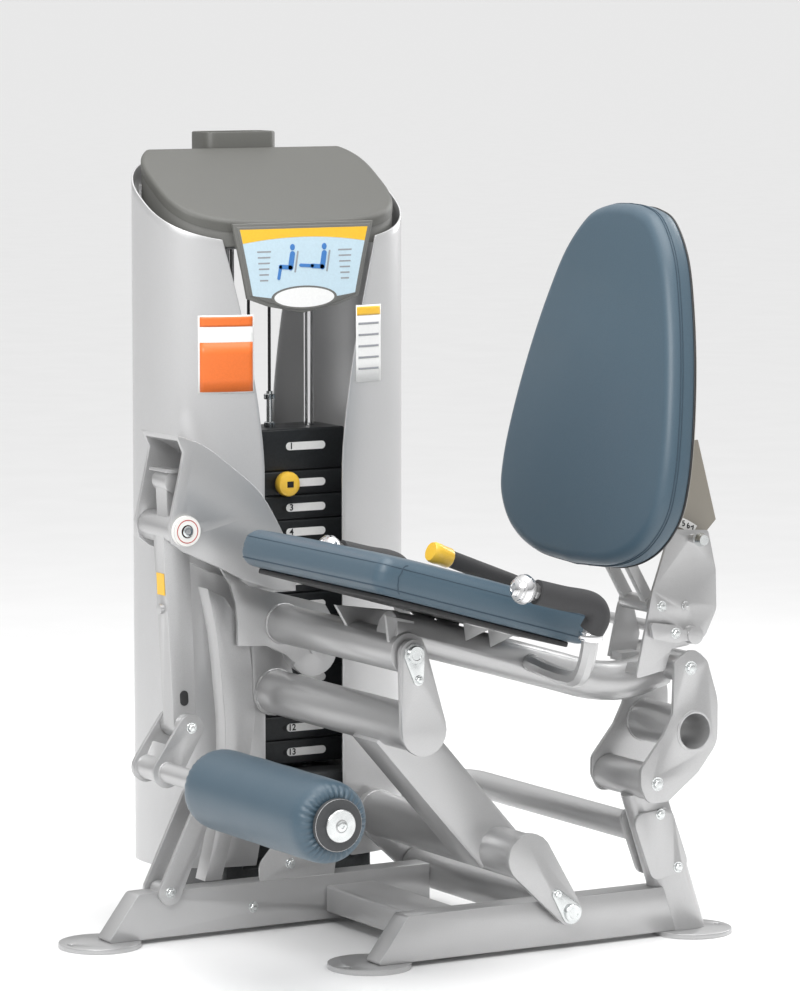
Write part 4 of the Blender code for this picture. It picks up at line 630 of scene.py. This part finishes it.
# ---- Selector knob ----
# A yellow moulded knob pressed on the selector pin, domed in front, with a plain dark square inlay.
YELLOW = surface("yellow_plastic", (0.90, 0.56, 0.060), 0.30, fleck=0.03, grain=0.04, coat=0.3)
hole_z = STACK_FOOT + 11 * PITCH + PITCH / 2
knob = spun("selector_knob", [(0, 0.0), (0.021, 0.0), (0.0225, 0.0015), (0.0243, 0.007), (0.0243, 0.017), (0.0225, 0.0205), (0.017, 0.0225),
                              (0.010, 0.0235), (0, 0.0240)], at(TOWER_X, hole_z, STACK_FRONT - 0.0005), (0, -1, 0), YELLOW, 64)
settle(knob, "selector_pin", "yellow_plastic", "selector_pin")
pin = spun("selector_stem", [(0, -0.048), (0.0044, -0.047), (0.0050, -0.045), (0.0050, 0.002), (0, 0.002)],
           at(TOWER_X, hole_z, STACK_FRONT - 0.0005), (0, -1, 0), CHROME, 32)
settle(pin, "selector_pin", "chrome")
inlay = slab("selector_inlay", [(TOWER_X + x, hole_z + z) for x, z in ((-0.007, -0.006), (0.007, -0.006), (0.007, 0.006), (-0.007, 0.006))],
             STACK_FRONT - 0.0250, STACK_FRONT - 0.0220, INK_AND_HOLE_SHADE, 0.0006)
settle(inlay, "selector_pin", "yellow_plastic")

# ---- Cable, pulley and plinth ----
# A black nylon-jacketed cable over a moulded pulley; a zinc stud and two nuts join it to the head plate.
RUBBER = surface("black_rubber", (0.022, 0.022, 0.024), 0.55, fleck=0.1, grain=0.3, grain_scale=600.0)
DARK_STEEL = surface("dark_steel", (0.055, 0.058, 0.060), 0.42, 0.35, fleck=0.1, grain=0.2)
for node in ("top_pulley", "cable_front_run", "cable_rear_run"):
    eased(node, RUBBER, 0.0)
eased("tower_base", DARK_STEEL, 0.0015)
head_top = STACK_FOOT + 12 * PITCH + 0.082
stud = [spun("stud", [(0, -0.0005), (0.0063, -0.0005), (0.0063, 0.0700), (0, 0.0700)], at(TOWER_X, head_top, 0.655), (0, 0, 1), ZINC, 24)]
for low in (-0.0005, 0.0545):
    stud.append(spun("nut", [(0, low), (0.0112, low), (0.0116, low + 0.001), (0.0116, low + 0.0092), (0.0104, low + 0.0102), (0, low + 0.0102)],
                     at(TOWER_X, head_top, 0.655), (0, 0, 1), ZINC, 6))
settle(joined("cable_stud", stud), "lifted_weights", "stack_paint")


# ---- Seat cushion ----
# Foam on a plywood board under blue grained vinyl, crowned along the middle, with a boxing seam round its lower
# edge and a corner seam where the front panel meets each side.
VINYL = surface("blue_vinyl", (0.052, 0.090, 0.122), 0.40, fleck=0.05, fleck_scale=420.0, grain=0.22, grain_scale=750.0, cells=True,
                coat=0.05, sheen=0.05)
THREAD = surface("seam_thread", (0.030, 0.055, 0.080), 0.70, fleck=0.2, fleck_scale=800.0, grain=0.5, grain_scale=1500.0)
BOARD = surface("black_board", (0.022, 0.022, 0.023), 0.55, fleck=0.2, fleck_scale=80.0, grain=0.4, grain_scale=250.0)
SEAT_MIDDLE, SEAT_TILT = at(0.103, 0.699), radians(16.0)
SEAT_HALF = Vector((0.2375, 0.2600, 0.0340))
SEAT_TURN = Matrix.Rotation(SEAT_TILT, 4, "Y")


def stops(half, edge, inner, bend=7):
    """Grid lines across a cushion: close together round each edge, and even between."""
    near = [-half + edge * (1 - cos(pi / 2 * i / bend)) for i in range(bend + 1)]
    middle = [(-half + edge) + (2 * (half - edge)) * i / inner for i in range(1, inner)]
    return near + middle + [-value for value in reversed(near)]


def cushion_block(name, half, edge, shape_point, look, inner=(18, 20, 3)):
    """A rounded block on a grid: shape_point moves each point to the real cushion's surface."""
    lines = [stops(half[axis], edge if axis < 2 else min(edge, half[2] * 0.98), inner[axis]) for axis in range(3)]
    shape = bmesh.new()
    found = {}

    def vertex(point):
        key = tuple(round(value, 6) for value in point)
        if key not in found:
            found[key] = shape.verts.new(shape_point(Vector(point)))
        return found[key]

    for axis in range(3):
        first, second = [other for other in range(3) if other != axis]
        for end in (-half[axis], half[axis]):
            for i in range(len(lines[first]) - 1):
                for j in range(len(lines[second]) - 1):
                    corners = []
                    for a, b in ((i, j), (i + 1, j), (i + 1, j + 1), (i, j + 1)):
                        point = [0.0, 0.0, 0.0]
                        point[axis], point[first], point[second] = end, lines[first][a], lines[second][b]
                        corners.append(vertex(point))
                    if len(set(corners)) > 2:
                        try:
                            shape.faces.new(list(dict.fromkeys(corners)))
                        except ValueError:
                            pass
    bmesh.ops.recalc_face_normals(shape, faces=shape.faces)
    mesh = bpy.data.meshes.new(name)
    shape.to_mesh(mesh)
    shape.free()
    return mesh_object(name, mesh, look, 80.0)


def seat_point(point):
    """A point of the seat's surface: rounded edges, a crowned top, and soft puckers near the corner seams."""
    edge = 0.026
    core = Vector([max(-half + edge, min(half - edge, value)) for value, half in zip(point, SEAT_HALF)])
    out = point - core
    if out.length > 1e-7:
        point = core + out.normalized() * min(edge, out.length if out.length < edge else edge)
    u, v = point.x / SEAT_HALF.x, point.y / SEAT_HALF.y
    if point.z > 0:
        point.z += 0.0075 * (1 - u**4) * (1 - v**4) * (point.z / SEAT_HALF.z)
        point.z += 0.0010 * noise.noise(Vector((point.x * 14, point.y * 11, 3.0)))
    corner = max(0.0, abs(v) - 0.86) / 0.14
    if corner > 0 and u < 0:
        point.x -= 0.0012 * corner * sin(point.z * 420.0) * max(0.0, -u - 0.4)
    point.x += 0.0016 * (1 - (point.z / 0.036) ** 2) * (1 if point.x > 0 else -1) * max(0.0, abs(u) - 0.85) / 0.15
    point.y += 0.0016 * (1 - (point.z / 0.036) ** 2) * (1 if point.y > 0 else -1) * max(0.0, abs(v) - 0.85) / 0.15
    return SEAT_MIDDLE + SEAT_TURN @ point


seat = cushion_block("seat_cover", SEAT_HALF, 0.026, seat_point, VINYL)
settle(seat, "seat", "blue_vinyl", "seat_cushion")
eased("seat_board", BOARD, 0.0010)


def cord_mesh(name, points, radius, look, closed=False, sides=8):
    """A round cord along points, as a mesh."""
    curve = bpy.data.curves.new(name, "CURVE")
    curve.dimensions = "3D"
    curve.bevel_depth = radius
    curve.bevel_resolution = sides // 4
    curve.use_fill_caps = not closed
    spline = curve.splines.new("POLY")
    spline.points.add(len(points) - 1)
    for spot, point in zip(spline.points, points):
        spot.co = (*point, 1.0)
    spline.use_cyclic_u = closed
    holder = bpy.data.objects.new(name, curve)
    bpy.context.scene.collection.objects.link(holder)
    bpy.context.view_layer.update()
    mesh = bpy.data.meshes.new_from_object(holder.evaluated_get(bpy.context.evaluated_depsgraph_get()))
    bpy.data.objects.remove(holder, do_unlink=True)
    return mesh_object(name, mesh, look, 60.0)


def seat_edge_run(z, steps=14):
    """A closed run round the seat's side at a height in its thickness."""
    edge = 0.026
    lift = max(0.0, abs(z) - (SEAT_HALF.z - edge))
    bulge = (edge**2 - lift**2) ** 0.5 - edge + 0.0016 * (1 - (z / 0.036) ** 2)
    run = []
    for sx, sy, start in ((1, 1, 0), (-1, 1, 90), (-1, -1, 180), (1, -1, 270)):
        middle = Vector((sx * (SEAT_HALF.x - edge), sy * (SEAT_HALF.y - edge), z))
        for step in range(steps + 1):
            turn = radians(start + 90 * step / steps)
            run.append(SEAT_MIDDLE + SEAT_TURN @ (middle + Vector((cos(turn), sin(turn), 0)) * (edge + bulge)))
    return run


seam = cord_mesh("seat_lower_seam", seat_edge_run(-0.0215), 0.0013, THREAD, closed=True)
settle(seam, "seat", "blue_vinyl")
seam = cord_mesh("seat_upper_seam", seat_edge_run(0.0185), 0.0009, THREAD, closed=True)
settle(seam, "seat", "blue_vinyl")
for name, v in (("near", -1), ("far", 1)):
    run = []
    for step in range(21):
        across = -0.0330 + 0.0670 * step / 20
        point = seat_point(Vector((-0.1825 - 0.030 * (1 - abs(across) / 0.034) ** 0.5 * 0.6, v * SEAT_HALF.y, across)))
        run.append(point + Vector((0, v * 0.0002, 0)))
    settle(cord_mesh(f"seat_corner_seam_{name}", run, 0.0010, THREAD), "seat", "blue_vinyl")

# Under the seat: the bent steel tabs that carry the board.
def seat_at(along, up, y):
    return SEAT_MIDDLE + SEAT_TURN @ Vector((along, y, up))


def folded_tab(name, along, y, side):
    """A small folded triangle of plate that stands on the spine and is screwed to the board."""
    shape = bmesh.new()
    top = -SEAT_HALF.z - 0.0108
    spots = [(along - 0.028, top, y), (along + 0.028, top, y), (along + 0.006, top - 0.030, y - side * 0.032)]
    vertices = [shape.verts.new(seat_at(a, u, b)) for a, u, b in spots]
    shape.faces.new(vertices)
    foot = [shape.verts.new(seat_at(a, top, b)) for a, b in ((along - 0.028, y + side * 0.022), (along + 0.028, y + side * 0.022))]
    shape.faces.new((vertices[1], vertices[0], foot[0], foot[1]))
    mesh = bpy.data.meshes.new(name)
    shape.to_mesh(mesh)
    shape.free()
    tab = mesh_object(name, mesh, SILVER)
    wall = tab.modifiers.new("wall", "SOLIDIFY")
    wall.thickness = 0.0030
    wall.offset = 0.0
    baked(tab)
    return settle(tab, "seat", "silver_paint")


folded_tab("seat_tab_near_front", 0.085, -0.095, -1)
folded_tab("seat_tab_near_rear", 0.140, -0.095, -1)
folded_tab("seat_tab_far_front", 0.085, 0.095, 1)
folded_tab("seat_tab_far_rear", 0.140, 0.095, 1)


# ---- Back cushion ----
# A teardrop of foam under the same vinyl, crowned in front, with a twin-needle seam where the front panel meets
# the boxing, a black edge strip behind it, and a moulded rear shell.
BACK_LEAN, BACK_THICK = radians(10.0), 0.056
TAUPE = surface("taupe_plastic", (0.255, 0.235, 0.200), 0.42, fleck=0.05, fleck_scale=500.0, grain=0.30, grain_scale=900.0)
EDGE_STRIP = surface("edge_strip", (0.012, 0.012, 0.013), 0.45, fleck=0.1, grain=0.1)
BACK_HALF_WIDTH, BACK_HEIGHT = 0.285, 0.680
BACK_RIGHT = [(across * BACK_HALF_WIDTH, up * BACK_HEIGHT) for across, up in (
    (0.000, 0.000), (0.458, 0.015), (0.771, 0.066), (0.958, 0.154), (1.000, 0.257), (0.967, 0.397), (0.875, 0.574),
    (0.750, 0.735), (0.604, 0.868), (0.396, 0.963), (0.1875, 0.994), (0.000, 1.000))]


def back_at(up, out, y=0.0):
    """A place on the back rest: up its lean, and out behind its front face."""
    return at(0.425 + up * sin(BACK_LEAN) + out * cos(BACK_LEAN), 0.725 + up * cos(BACK_LEAN) - out * sin(BACK_LEAN), y)


def through(points, steps):
    """A smooth run through points."""
    spots = [Vector(point) for point in points]
    spots = [2 * spots[0] - spots[1], *spots, 2 * spots[-1] - spots[-2]]
    run = []
    for i in range(1, len(spots) - 2):
        for step in range(steps):
            t = step / steps
            a, b, c, d = spots[i - 1:i + 3]
            run.append(0.5 * (2 * b + (c - a) * t + (2 * a - 5 * b + 4 * c - d) * t**2 + (3 * b - a - 3 * c + d) * t**3))
    run.append(spots[-2])
    return run


BACK_LOOP = through(BACK_RIGHT, 9)
BACK_LOOP = BACK_LOOP + [Vector((-spot.x, spot.y)) for spot in reversed(BACK_LOOP[1:-1])]
BACK_NORMALS = []
for i, spot in enumerate(BACK_LOOP):
    before, after = BACK_LOOP[i - 1], BACK_LOOP[(i + 1) % len(BACK_LOOP)]
    along = (after - before).normalized()
    BACK_NORMALS.append(Vector((along.y, -along.x)))
BACK_HEART = Vector((0.0, 0.300))


def back_ring(inset, out, pull=0.0):
    """A ring of the back rest: the outline moved in by inset, then pulled a share of the way to its heart."""
    ring = []
    for spot, normal in zip(BACK_LOOP, BACK_NORMALS):
        here = spot - normal * inset
        here = here.lerp(BACK_HEART, pull)
        ring.append(back_at(here.y, out, here.x))
    return ring


back_rings = [back_ring(0.010, BACK_THICK), back_ring(0.004, BACK_THICK), back_ring(0.001, BACK_THICK - 0.003)]
for step in range(5):
    share = step / 4
    back_rings.append(back_ring(-0.0012 * sin(pi * share), BACK_THICK - 0.006 - (BACK_THICK - 0.030) * share))
FRONT_EDGE = 0.024
for step in range(1, 9):
    lean = pi / 2 * step / 8
    back_rings.append(back_ring(FRONT_EDGE * (1 - cos(lean)), FRONT_EDGE * (1 - sin(lean)) - 0.0010 * sin(lean)))
for step in range(1, 15):
    share = step / 15
    back_rings.append(back_ring(FRONT_EDGE, -0.0010 - 0.0075 * (1 - (1 - share) ** 2), share))
centre_ring = back_ring(FRONT_EDGE, -0.0085, 0.985)
back_rings.append(centre_ring)
back_cover = ringed("back_cover", back_rings, VINYL, 80.0)
settle(back_cover, "back_rest", "blue_vinyl", "back_cushion")
for name, inset, out, radius in (("back_seam_front", -0.0004, 0.0225, 0.0008), ("back_seam_rear", -0.0009, 0.0275, 0.0008)):
    settle(cord_mesh(name, back_ring(inset, out), radius, THREAD, closed=True), "back_rest", "blue_vinyl")
settle(cord_mesh("back_edge_strip", back_ring(0.0010, BACK_THICK - 0.0010), 0.0024, EDGE_STRIP, closed=True), "back_rest", "black_foam")
SHELL_FRONT, SHELL_DEPTH = 0.0563, 0.0118
shell_rings = [back_ring(0.020, SHELL_FRONT), back_ring(0.009, SHELL_FRONT), back_ring(0.0085, SHELL_FRONT + 0.001)]
for step in range(7):
    lean = pi / 2 * step / 6
    shell_rings.append(back_ring(0.0085 + 0.008 * (1 - cos(lean)), SHELL_FRONT + SHELL_DEPTH - 0.008 + 0.008 * sin(lean)))
shell_rings += [back_ring(0.0175, SHELL_FRONT + SHELL_DEPTH, pull) for pull in (0.1, 0.4, 0.7, 0.985)]
settle(ringed("back_shell_moulding", shell_rings, TAUPE, 60.0), "back_rest", "taupe_plastic", "back_shell")

# The taupe sector plate, with a white number scale round its rim for the seven positions.
eased("back_sector", TAUPE, 0.0008)
SCALE_FACE = -0.0485
SCALE_CENTRE = (0.592, 0.638)
SCALE_REACH = 0.1640
scale_turns = [radians(56.0 + 2.4 * i) for i in range(13)]
outer = [(SCALE_CENTRE[0] + (SCALE_REACH + 0.0095) * cos(turn), SCALE_CENTRE[1] + (SCALE_REACH + 0.0095) * sin(turn)) for turn in scale_turns]
inner = [(SCALE_CENTRE[0] + (SCALE_REACH - 0.0095) * cos(turn), SCALE_CENTRE[1] + (SCALE_REACH - 0.0095) * sin(turn))
         for turn in reversed(scale_turns)]
scale = slab("sector_scale", outer + inner, SCALE_FACE - 0.0006, SCALE_FACE + 0.0005, WHITE_PRINT, 0.0)
settle(scale, "back_rest", "taupe_plastic")
digits = []
for number in range(1, 8):
    turn = radians(58.0 + 4.1 * (7 - number))
    spot = at(SCALE_CENTRE[0] + SCALE_REACH * cos(turn), SCALE_CENTRE[1] + SCALE_REACH * sin(turn), SCALE_FACE - 0.0008)
    digits.append(numeral("sector_number", str(number), 0.0105, spot, INK_AND_HOLE_SHADE, (pi / 2, turn - pi / 2 + 0.35, 0)))
settle(joined("sector_numbers", digits), "back_rest", "taupe_plastic")
eased("pull_pin", ZINC, 0.0)


# ---- Shin roller ----
# A foam tube under a blue vinyl sleeve whose near end is gathered by a cord round a dark ring; a zinc cap holds it.
ROLLER = at(-0.223, 0.328)
ROLLER_NEAR, ROLLER_FAR, ROLLER_RADIUS = -0.2720, 0.1780, 0.0750
PLEATS = 34


def roller_ring(radius, y, pleat=0.0, sides=272):
    """A ring of the sleeve; the gathers pleat it in radius and along the roller."""
    ring = []
    for i in range(sides):
        turn = tau * i / sides
        wave = sin(turn * PLEATS + 1.3 * sin(turn * 3.0)) * (0.7 + 0.3 * sin(turn * 5.0 + 1.0))
        reach = radius + 0.35 * pleat * wave
        ring.append(Vector((ROLLER.x + reach * cos(turn), ROLLER.y + y + pleat * wave * 0.8, ROLLER.z + reach * sin(turn))))
    return ring


roller_rings = []
for radius, y, pleat in ((0.0200, ROLLER_NEAR + 0.0030, 0.0), (0.0400, ROLLER_NEAR + 0.0030, 0.0008), (0.0450, ROLLER_NEAR + 0.0036, 0.0022),
                         (0.0490, ROLLER_NEAR + 0.0030, 0.0032), (0.0540, ROLLER_NEAR + 0.0036, 0.0032), (0.0590, ROLLER_NEAR + 0.0056, 0.0030),
                         (0.0640, ROLLER_NEAR + 0.0088, 0.0024), (0.0685, ROLLER_NEAR + 0.0138, 0.0016), (0.0718, ROLLER_NEAR + 0.0200, 0.0009),
                         (0.0738, ROLLER_NEAR + 0.0280, 0.0004), (0.0748, ROLLER_NEAR + 0.0400, 0.0001), (0.0751, ROLLER_NEAR + 0.0600, 0.0)):
    roller_rings.append(roller_ring(radius, y, pleat))
for step in range(1, 12):
    y = ROLLER_NEAR + 0.060 + (ROLLER_FAR - ROLLER_NEAR - 0.100) * step / 12
    roller_rings.append(roller_ring(0.0752 + 0.0003 * sin(step * 1.7), y))
for radius, y, pleat in ((0.0750, ROLLER_FAR - 0.040, 0.0), (0.0742, ROLLER_FAR - 0.026, 0.0003), (0.0715, ROLLER_FAR - 0.015, 0.0009),
                         (0.0660, ROLLER_FAR - 0.0075, 0.0018), (0.0590, ROLLER_FAR - 0.0040, 0.0022), (0.0500, ROLLER_FAR - 0.0034, 0.0018),
                         (0.0400, ROLLER_FAR - 0.0030, 0.0006), (0.0200, ROLLER_FAR - 0.0030, 0.0)):
    roller_rings.append(roller_ring(radius, y, pleat))
sleeve = ringed("roller_sleeve", roller_rings, VINYL, 80.0)
settle(sleeve, "shin_roller", "blue_vinyl", "shin_roller")
GREY_RING = surface("ring_plastic", (0.045, 0.047, 0.050), 0.45, fleck=0.08, grain=0.2)
ring = spun("roller_ring", [(0.0200, 0.0013), (0.0475, 0.0013), (0.0478, 0.0085), (0.0462, 0.0107), (0.0340, 0.0112), (0.0200, 0.0112)],
            at(-0.223, 0.328, ROLLER_NEAR), (0, -1, 0), GREY_RING, 72)
settle(ring, "shin_link", "silver_paint")
end_cap = spun("roller_end_cap", [(0.0, 0.0100), (0.0292, 0.0100), (0.0292, 0.0185), (0.0278, 0.0201), (0.0120, 0.0204), (0.0112, 0.0190), (0, 0.0190)],
               at(-0.223, 0.328, ROLLER_NEAR), (0, -1, 0), ZINC, 72)
settle(end_cap, "shin_link", "silver_paint")
cap_head = spun("roller_screw", [(0, 0.0185), (0.0095, 0.0185), (0.0095, 0.0225), (0.0078, 0.0238), (0.0045, 0.0238), (0.0042, 0.0215), (0, 0.0215)],
                at(-0.223, 0.328, ROLLER_NEAR), (0, -1, 0), ZINC, 40)
settle(cap_head, "shin_link", "silver_paint")


# ---- Hand grips ----
# Bent steel bars beside the seat, each with a black closed-cell foam sleeve, a turned collar and a bright ball end.
FOAM = surface("black_foam", (0.040, 0.040, 0.042), 0.72, fleck=0.12, fleck_scale=700.0, grain=0.45, grain_scale=1400.0, cells=True)
GRIP_BEND = [(0.200, 0.350, 0.710), (0.246, 0.350, 0.700), (0.268, 0.348, 0.688), (0.276, 0.344, 0.668), (0.268, 0.336, 0.645)]
for name, side in (("near", -1), ("far", 1)):
    eased(f"handle_bar_{name}", SILVER, 0.0)
    sleeve_points = [(0.142, 0.350, 0.7252)] + GRIP_BEND
    run = [at(x, z, side * y) for x, y, z in through(sleeve_points, 10)]
    grip = cord_mesh(f"grip_sleeve_{name}", run, 0.0225, FOAM, sides=36)
    rounding = grip.modifiers.new("edges", "BEVEL")
    rounding.width = 0.0025
    rounding.segments = 3
    rounding.angle_limit = radians(60)
    baked(grip)
    settle(grip, "seat", "black_foam", f"handle_grip_{name}")
    knob_base = at(0.123, 0.730, side * 0.350)
    ball = spun(f"grip_ball_{name}", [(0, -0.0110), (0.0160, -0.0104), (0.0205, -0.0080), (0.0222, -0.0050), (0.0226, -0.0020), (0.0240, 0.0000),
                                      (0.0262, 0.0025), (0.0272, 0.0060), (0.0270, 0.0100), (0.0258, 0.0150), (0.0236, 0.0180), (0.0222, 0.0200),
                                      (0.0200, 0.0210), (0.0190, 0.0228), (0.0168, 0.0262), (0.0120, 0.0290), (0.0080, 0.0302), (0.0072, 0.0290),
                                      (0.0040, 0.0288), (0, 0.0300)], knob_base, (-1, 0, 0.22), CHROME, 64, 50.0)
    settle(ball, "seat", "chrome")
    foot = at(0.2668, 0.632, side * 0.3343)
    collar = spun(f"grip_collar_{name}", [(0.0150, -0.004), (0.0205, -0.004), (0.0222, -0.001), (0.0222, 0.008), (0.0205, 0.011), (0.0150, 0.011)],
                  foot, (0.06, 0.12 * side, 0.99), CHROME, 48)
    settle(collar, "seat", "chrome")
    weld(f"handle_weld_{name}", "seat", 0.3270, 0.5468, side * 0.0395, 0.0155, 0.0028)


# ---- Adjusting lever ----
# A steel bar with a foam sleeve and a yellow moulded end, welded to a cross shaft behind the seat.
lever_start, lever_end = at(0.656, 0.581, 0.250), at(0.290, 0.724, 0.250)
lever_along = (lever_end - lever_start).normalized()
lever_length = (lever_end - lever_start).length
bar = spun("lever_bar", [(0, 0), (0.0124, 0), (0.0124, lever_length - 0.030), (0, lever_length - 0.030)], lever_start, lever_along, SILVER, 40)
shaft = spun("lever_shaft", [(0, -0.0695), (0.0110, -0.0695), (0.0110, 0.2660), (0, 0.2660)], at(0.656, 0.581), (0, 1, 0), SILVER, 40)
settle(joined("lever_steel", [bar, shaft]), "adjust_lever", "silver_paint", "adjust_lever")
foam = spun("lever_sleeve", [(0.0120, 0.150), (0.0150, 0.150), (0.0165, 0.152), (0.0165, lever_length - 0.032), (0.0120, lever_length - 0.032)],
            lever_start, lever_along, FOAM, 48)
settle(foam, "adjust_lever", "black_foam")
end = spun("lever_end", [(0.0120, lever_length - 0.036), (0.0180, lever_length - 0.036), (0.0195, lever_length - 0.033), (0.0195, lever_length - 0.012),
                         (0.0204, lever_length - 0.009), (0.0204, lever_length + 0.004), (0.0180, lever_length + 0.009), (0, lever_length + 0.010)],
           lever_start, lever_along, YELLOW, 56)
settle(end, "adjust_lever", "yellow_plastic")


# ---- Leg arm details ----
# The black oval plug in the arm's side, and a plain yellow sticker on its front. Along the arm: 0 at the knee
# pivot, 1 at the shin pivot.
def on_arm(share, out=0.0):
    """A side-view place on the leg arm's middle line, or out in front of it."""
    knee, ankle = Vector((-0.190, 0.783)), Vector((-0.172, 0.408))
    along = (ankle - knee).normalized()
    return knee.lerp(ankle, share) + Vector((along.y, -along.x)) * out


def arm_patch(name, start, end, wide, out, thick, look):
    """A thin patch on the arm's front face, between two shares of its length."""
    corners = [on_arm(start, out), on_arm(end, out), on_arm(end, out + thick), on_arm(start, out + thick)]
    middle = 0.412
    made = slab(name, [tuple(corner) for corner in corners], middle - wide / 2, middle + wide / 2, look, 0.0)
    return settle(made, "leg_arm", "silver_paint")


plug_ends = [tuple(on_arm(share)) for share in (0.840, 0.872)]
plug = slab("arm_plug", lobe_outline([(end, 0.0085) for end in plug_ends], 28), 0.3890, 0.3915, BOARD, 0.0006)
settle(plug, "leg_arm", "silver_paint")
arm_patch("arm_sticker", 0.22, 0.33, 0.030, 0.0262, 0.0009, YELLOW_PRINT)


# ---- Floor, light and camera ----
# A plain pale sweep, broad soft light from the front and above, and a long lens from the front left.
FLOOR = surface("floor", (0.87, 0.87, 0.87), 0.70, fleck=0.01, fleck_scale=4.0, grain=0.0)
bpy.ops.mesh.primitive_plane_add(size=6000.0, location=(0, 0, 0))
floor = bpy.context.object
floor.name = "floor"
floor.data.materials.append(FLOOR)
bpy.context.scene.view_settings.view_transform = "Standard"

# The sky is bright overhead and dimmer toward the horizon, so that upright faces keep their shape.
world = bpy.data.worlds.new("studio")
bpy.context.scene.world = world
world.use_nodes = True
sky_nodes, sky_links = world.node_tree.nodes, world.node_tree.links
sky = sky_nodes["Background"]
sky.inputs["Color"].default_value = (1.0, 1.0, 1.0, 1.0)
direction = sky_nodes.new("ShaderNodeTexCoord")
height = sky_nodes.new("ShaderNodeSeparateXYZ")
fade = sky_nodes.new("ShaderNodeMapRange")
fade.inputs["To Min"].default_value = 0.25
fade.inputs["To Max"].default_value = 1.30
sky_links.new(direction.outputs["Generated"], height.inputs["Vector"])
sky_links.new(height.outputs["Z"], fade.inputs["Value"])
sky_links.new(fade.outputs["Result"], sky.inputs["Strength"])


def softbox(name, place, aim, size, power):
    lamp = bpy.data.lights.new(name, "AREA")
    lamp.shape = "RECTANGLE"
    lamp.size, lamp.size_y = size
    lamp.energy = power
    holder = bpy.data.objects.new(name, lamp)
    holder.location = place
    holder.rotation_euler = (Vector(aim) - Vector(place)).to_track_quat("-Z", "Y").to_euler()
    bpy.context.scene.collection.objects.link(holder)
    return holder


softbox("key", (-3.2, -2.6, 3.6), (0, 0, 0.7), (2.6, 2.0), 130)
softbox("top", (0.4, -0.6, 4.2), (0, 0, 0.5), (3.0, 3.0), 90)
softbox("rim", (3.4, 0.8, 2.4), (0.2, 0, 0.8), (1.2, 2.4), 50)

camera_data = bpy.data.cameras.new("camera")
camera_data.lens = 168.9
camera_data.sensor_width = 36.0
camera_data.clip_end = 10000.0
camera = bpy.data.objects.new("camera", camera_data)
AZIMUTH, PITCH_DOWN = radians(30.42), radians(6.156)
look_along = Vector((sin(AZIMUTH) * cos(PITCH_DOWN), cos(AZIMUTH) * cos(PITCH_DOWN), -sin(PITCH_DOWN)))
camera.location = at(-4.2098, 1.78, -7.2845)
camera.rotation_euler = look_along.to_track_quat("-Z", "Y").to_euler()
bpy.context.scene.collection.objects.link(camera)
bpy.context.scene.camera = camera
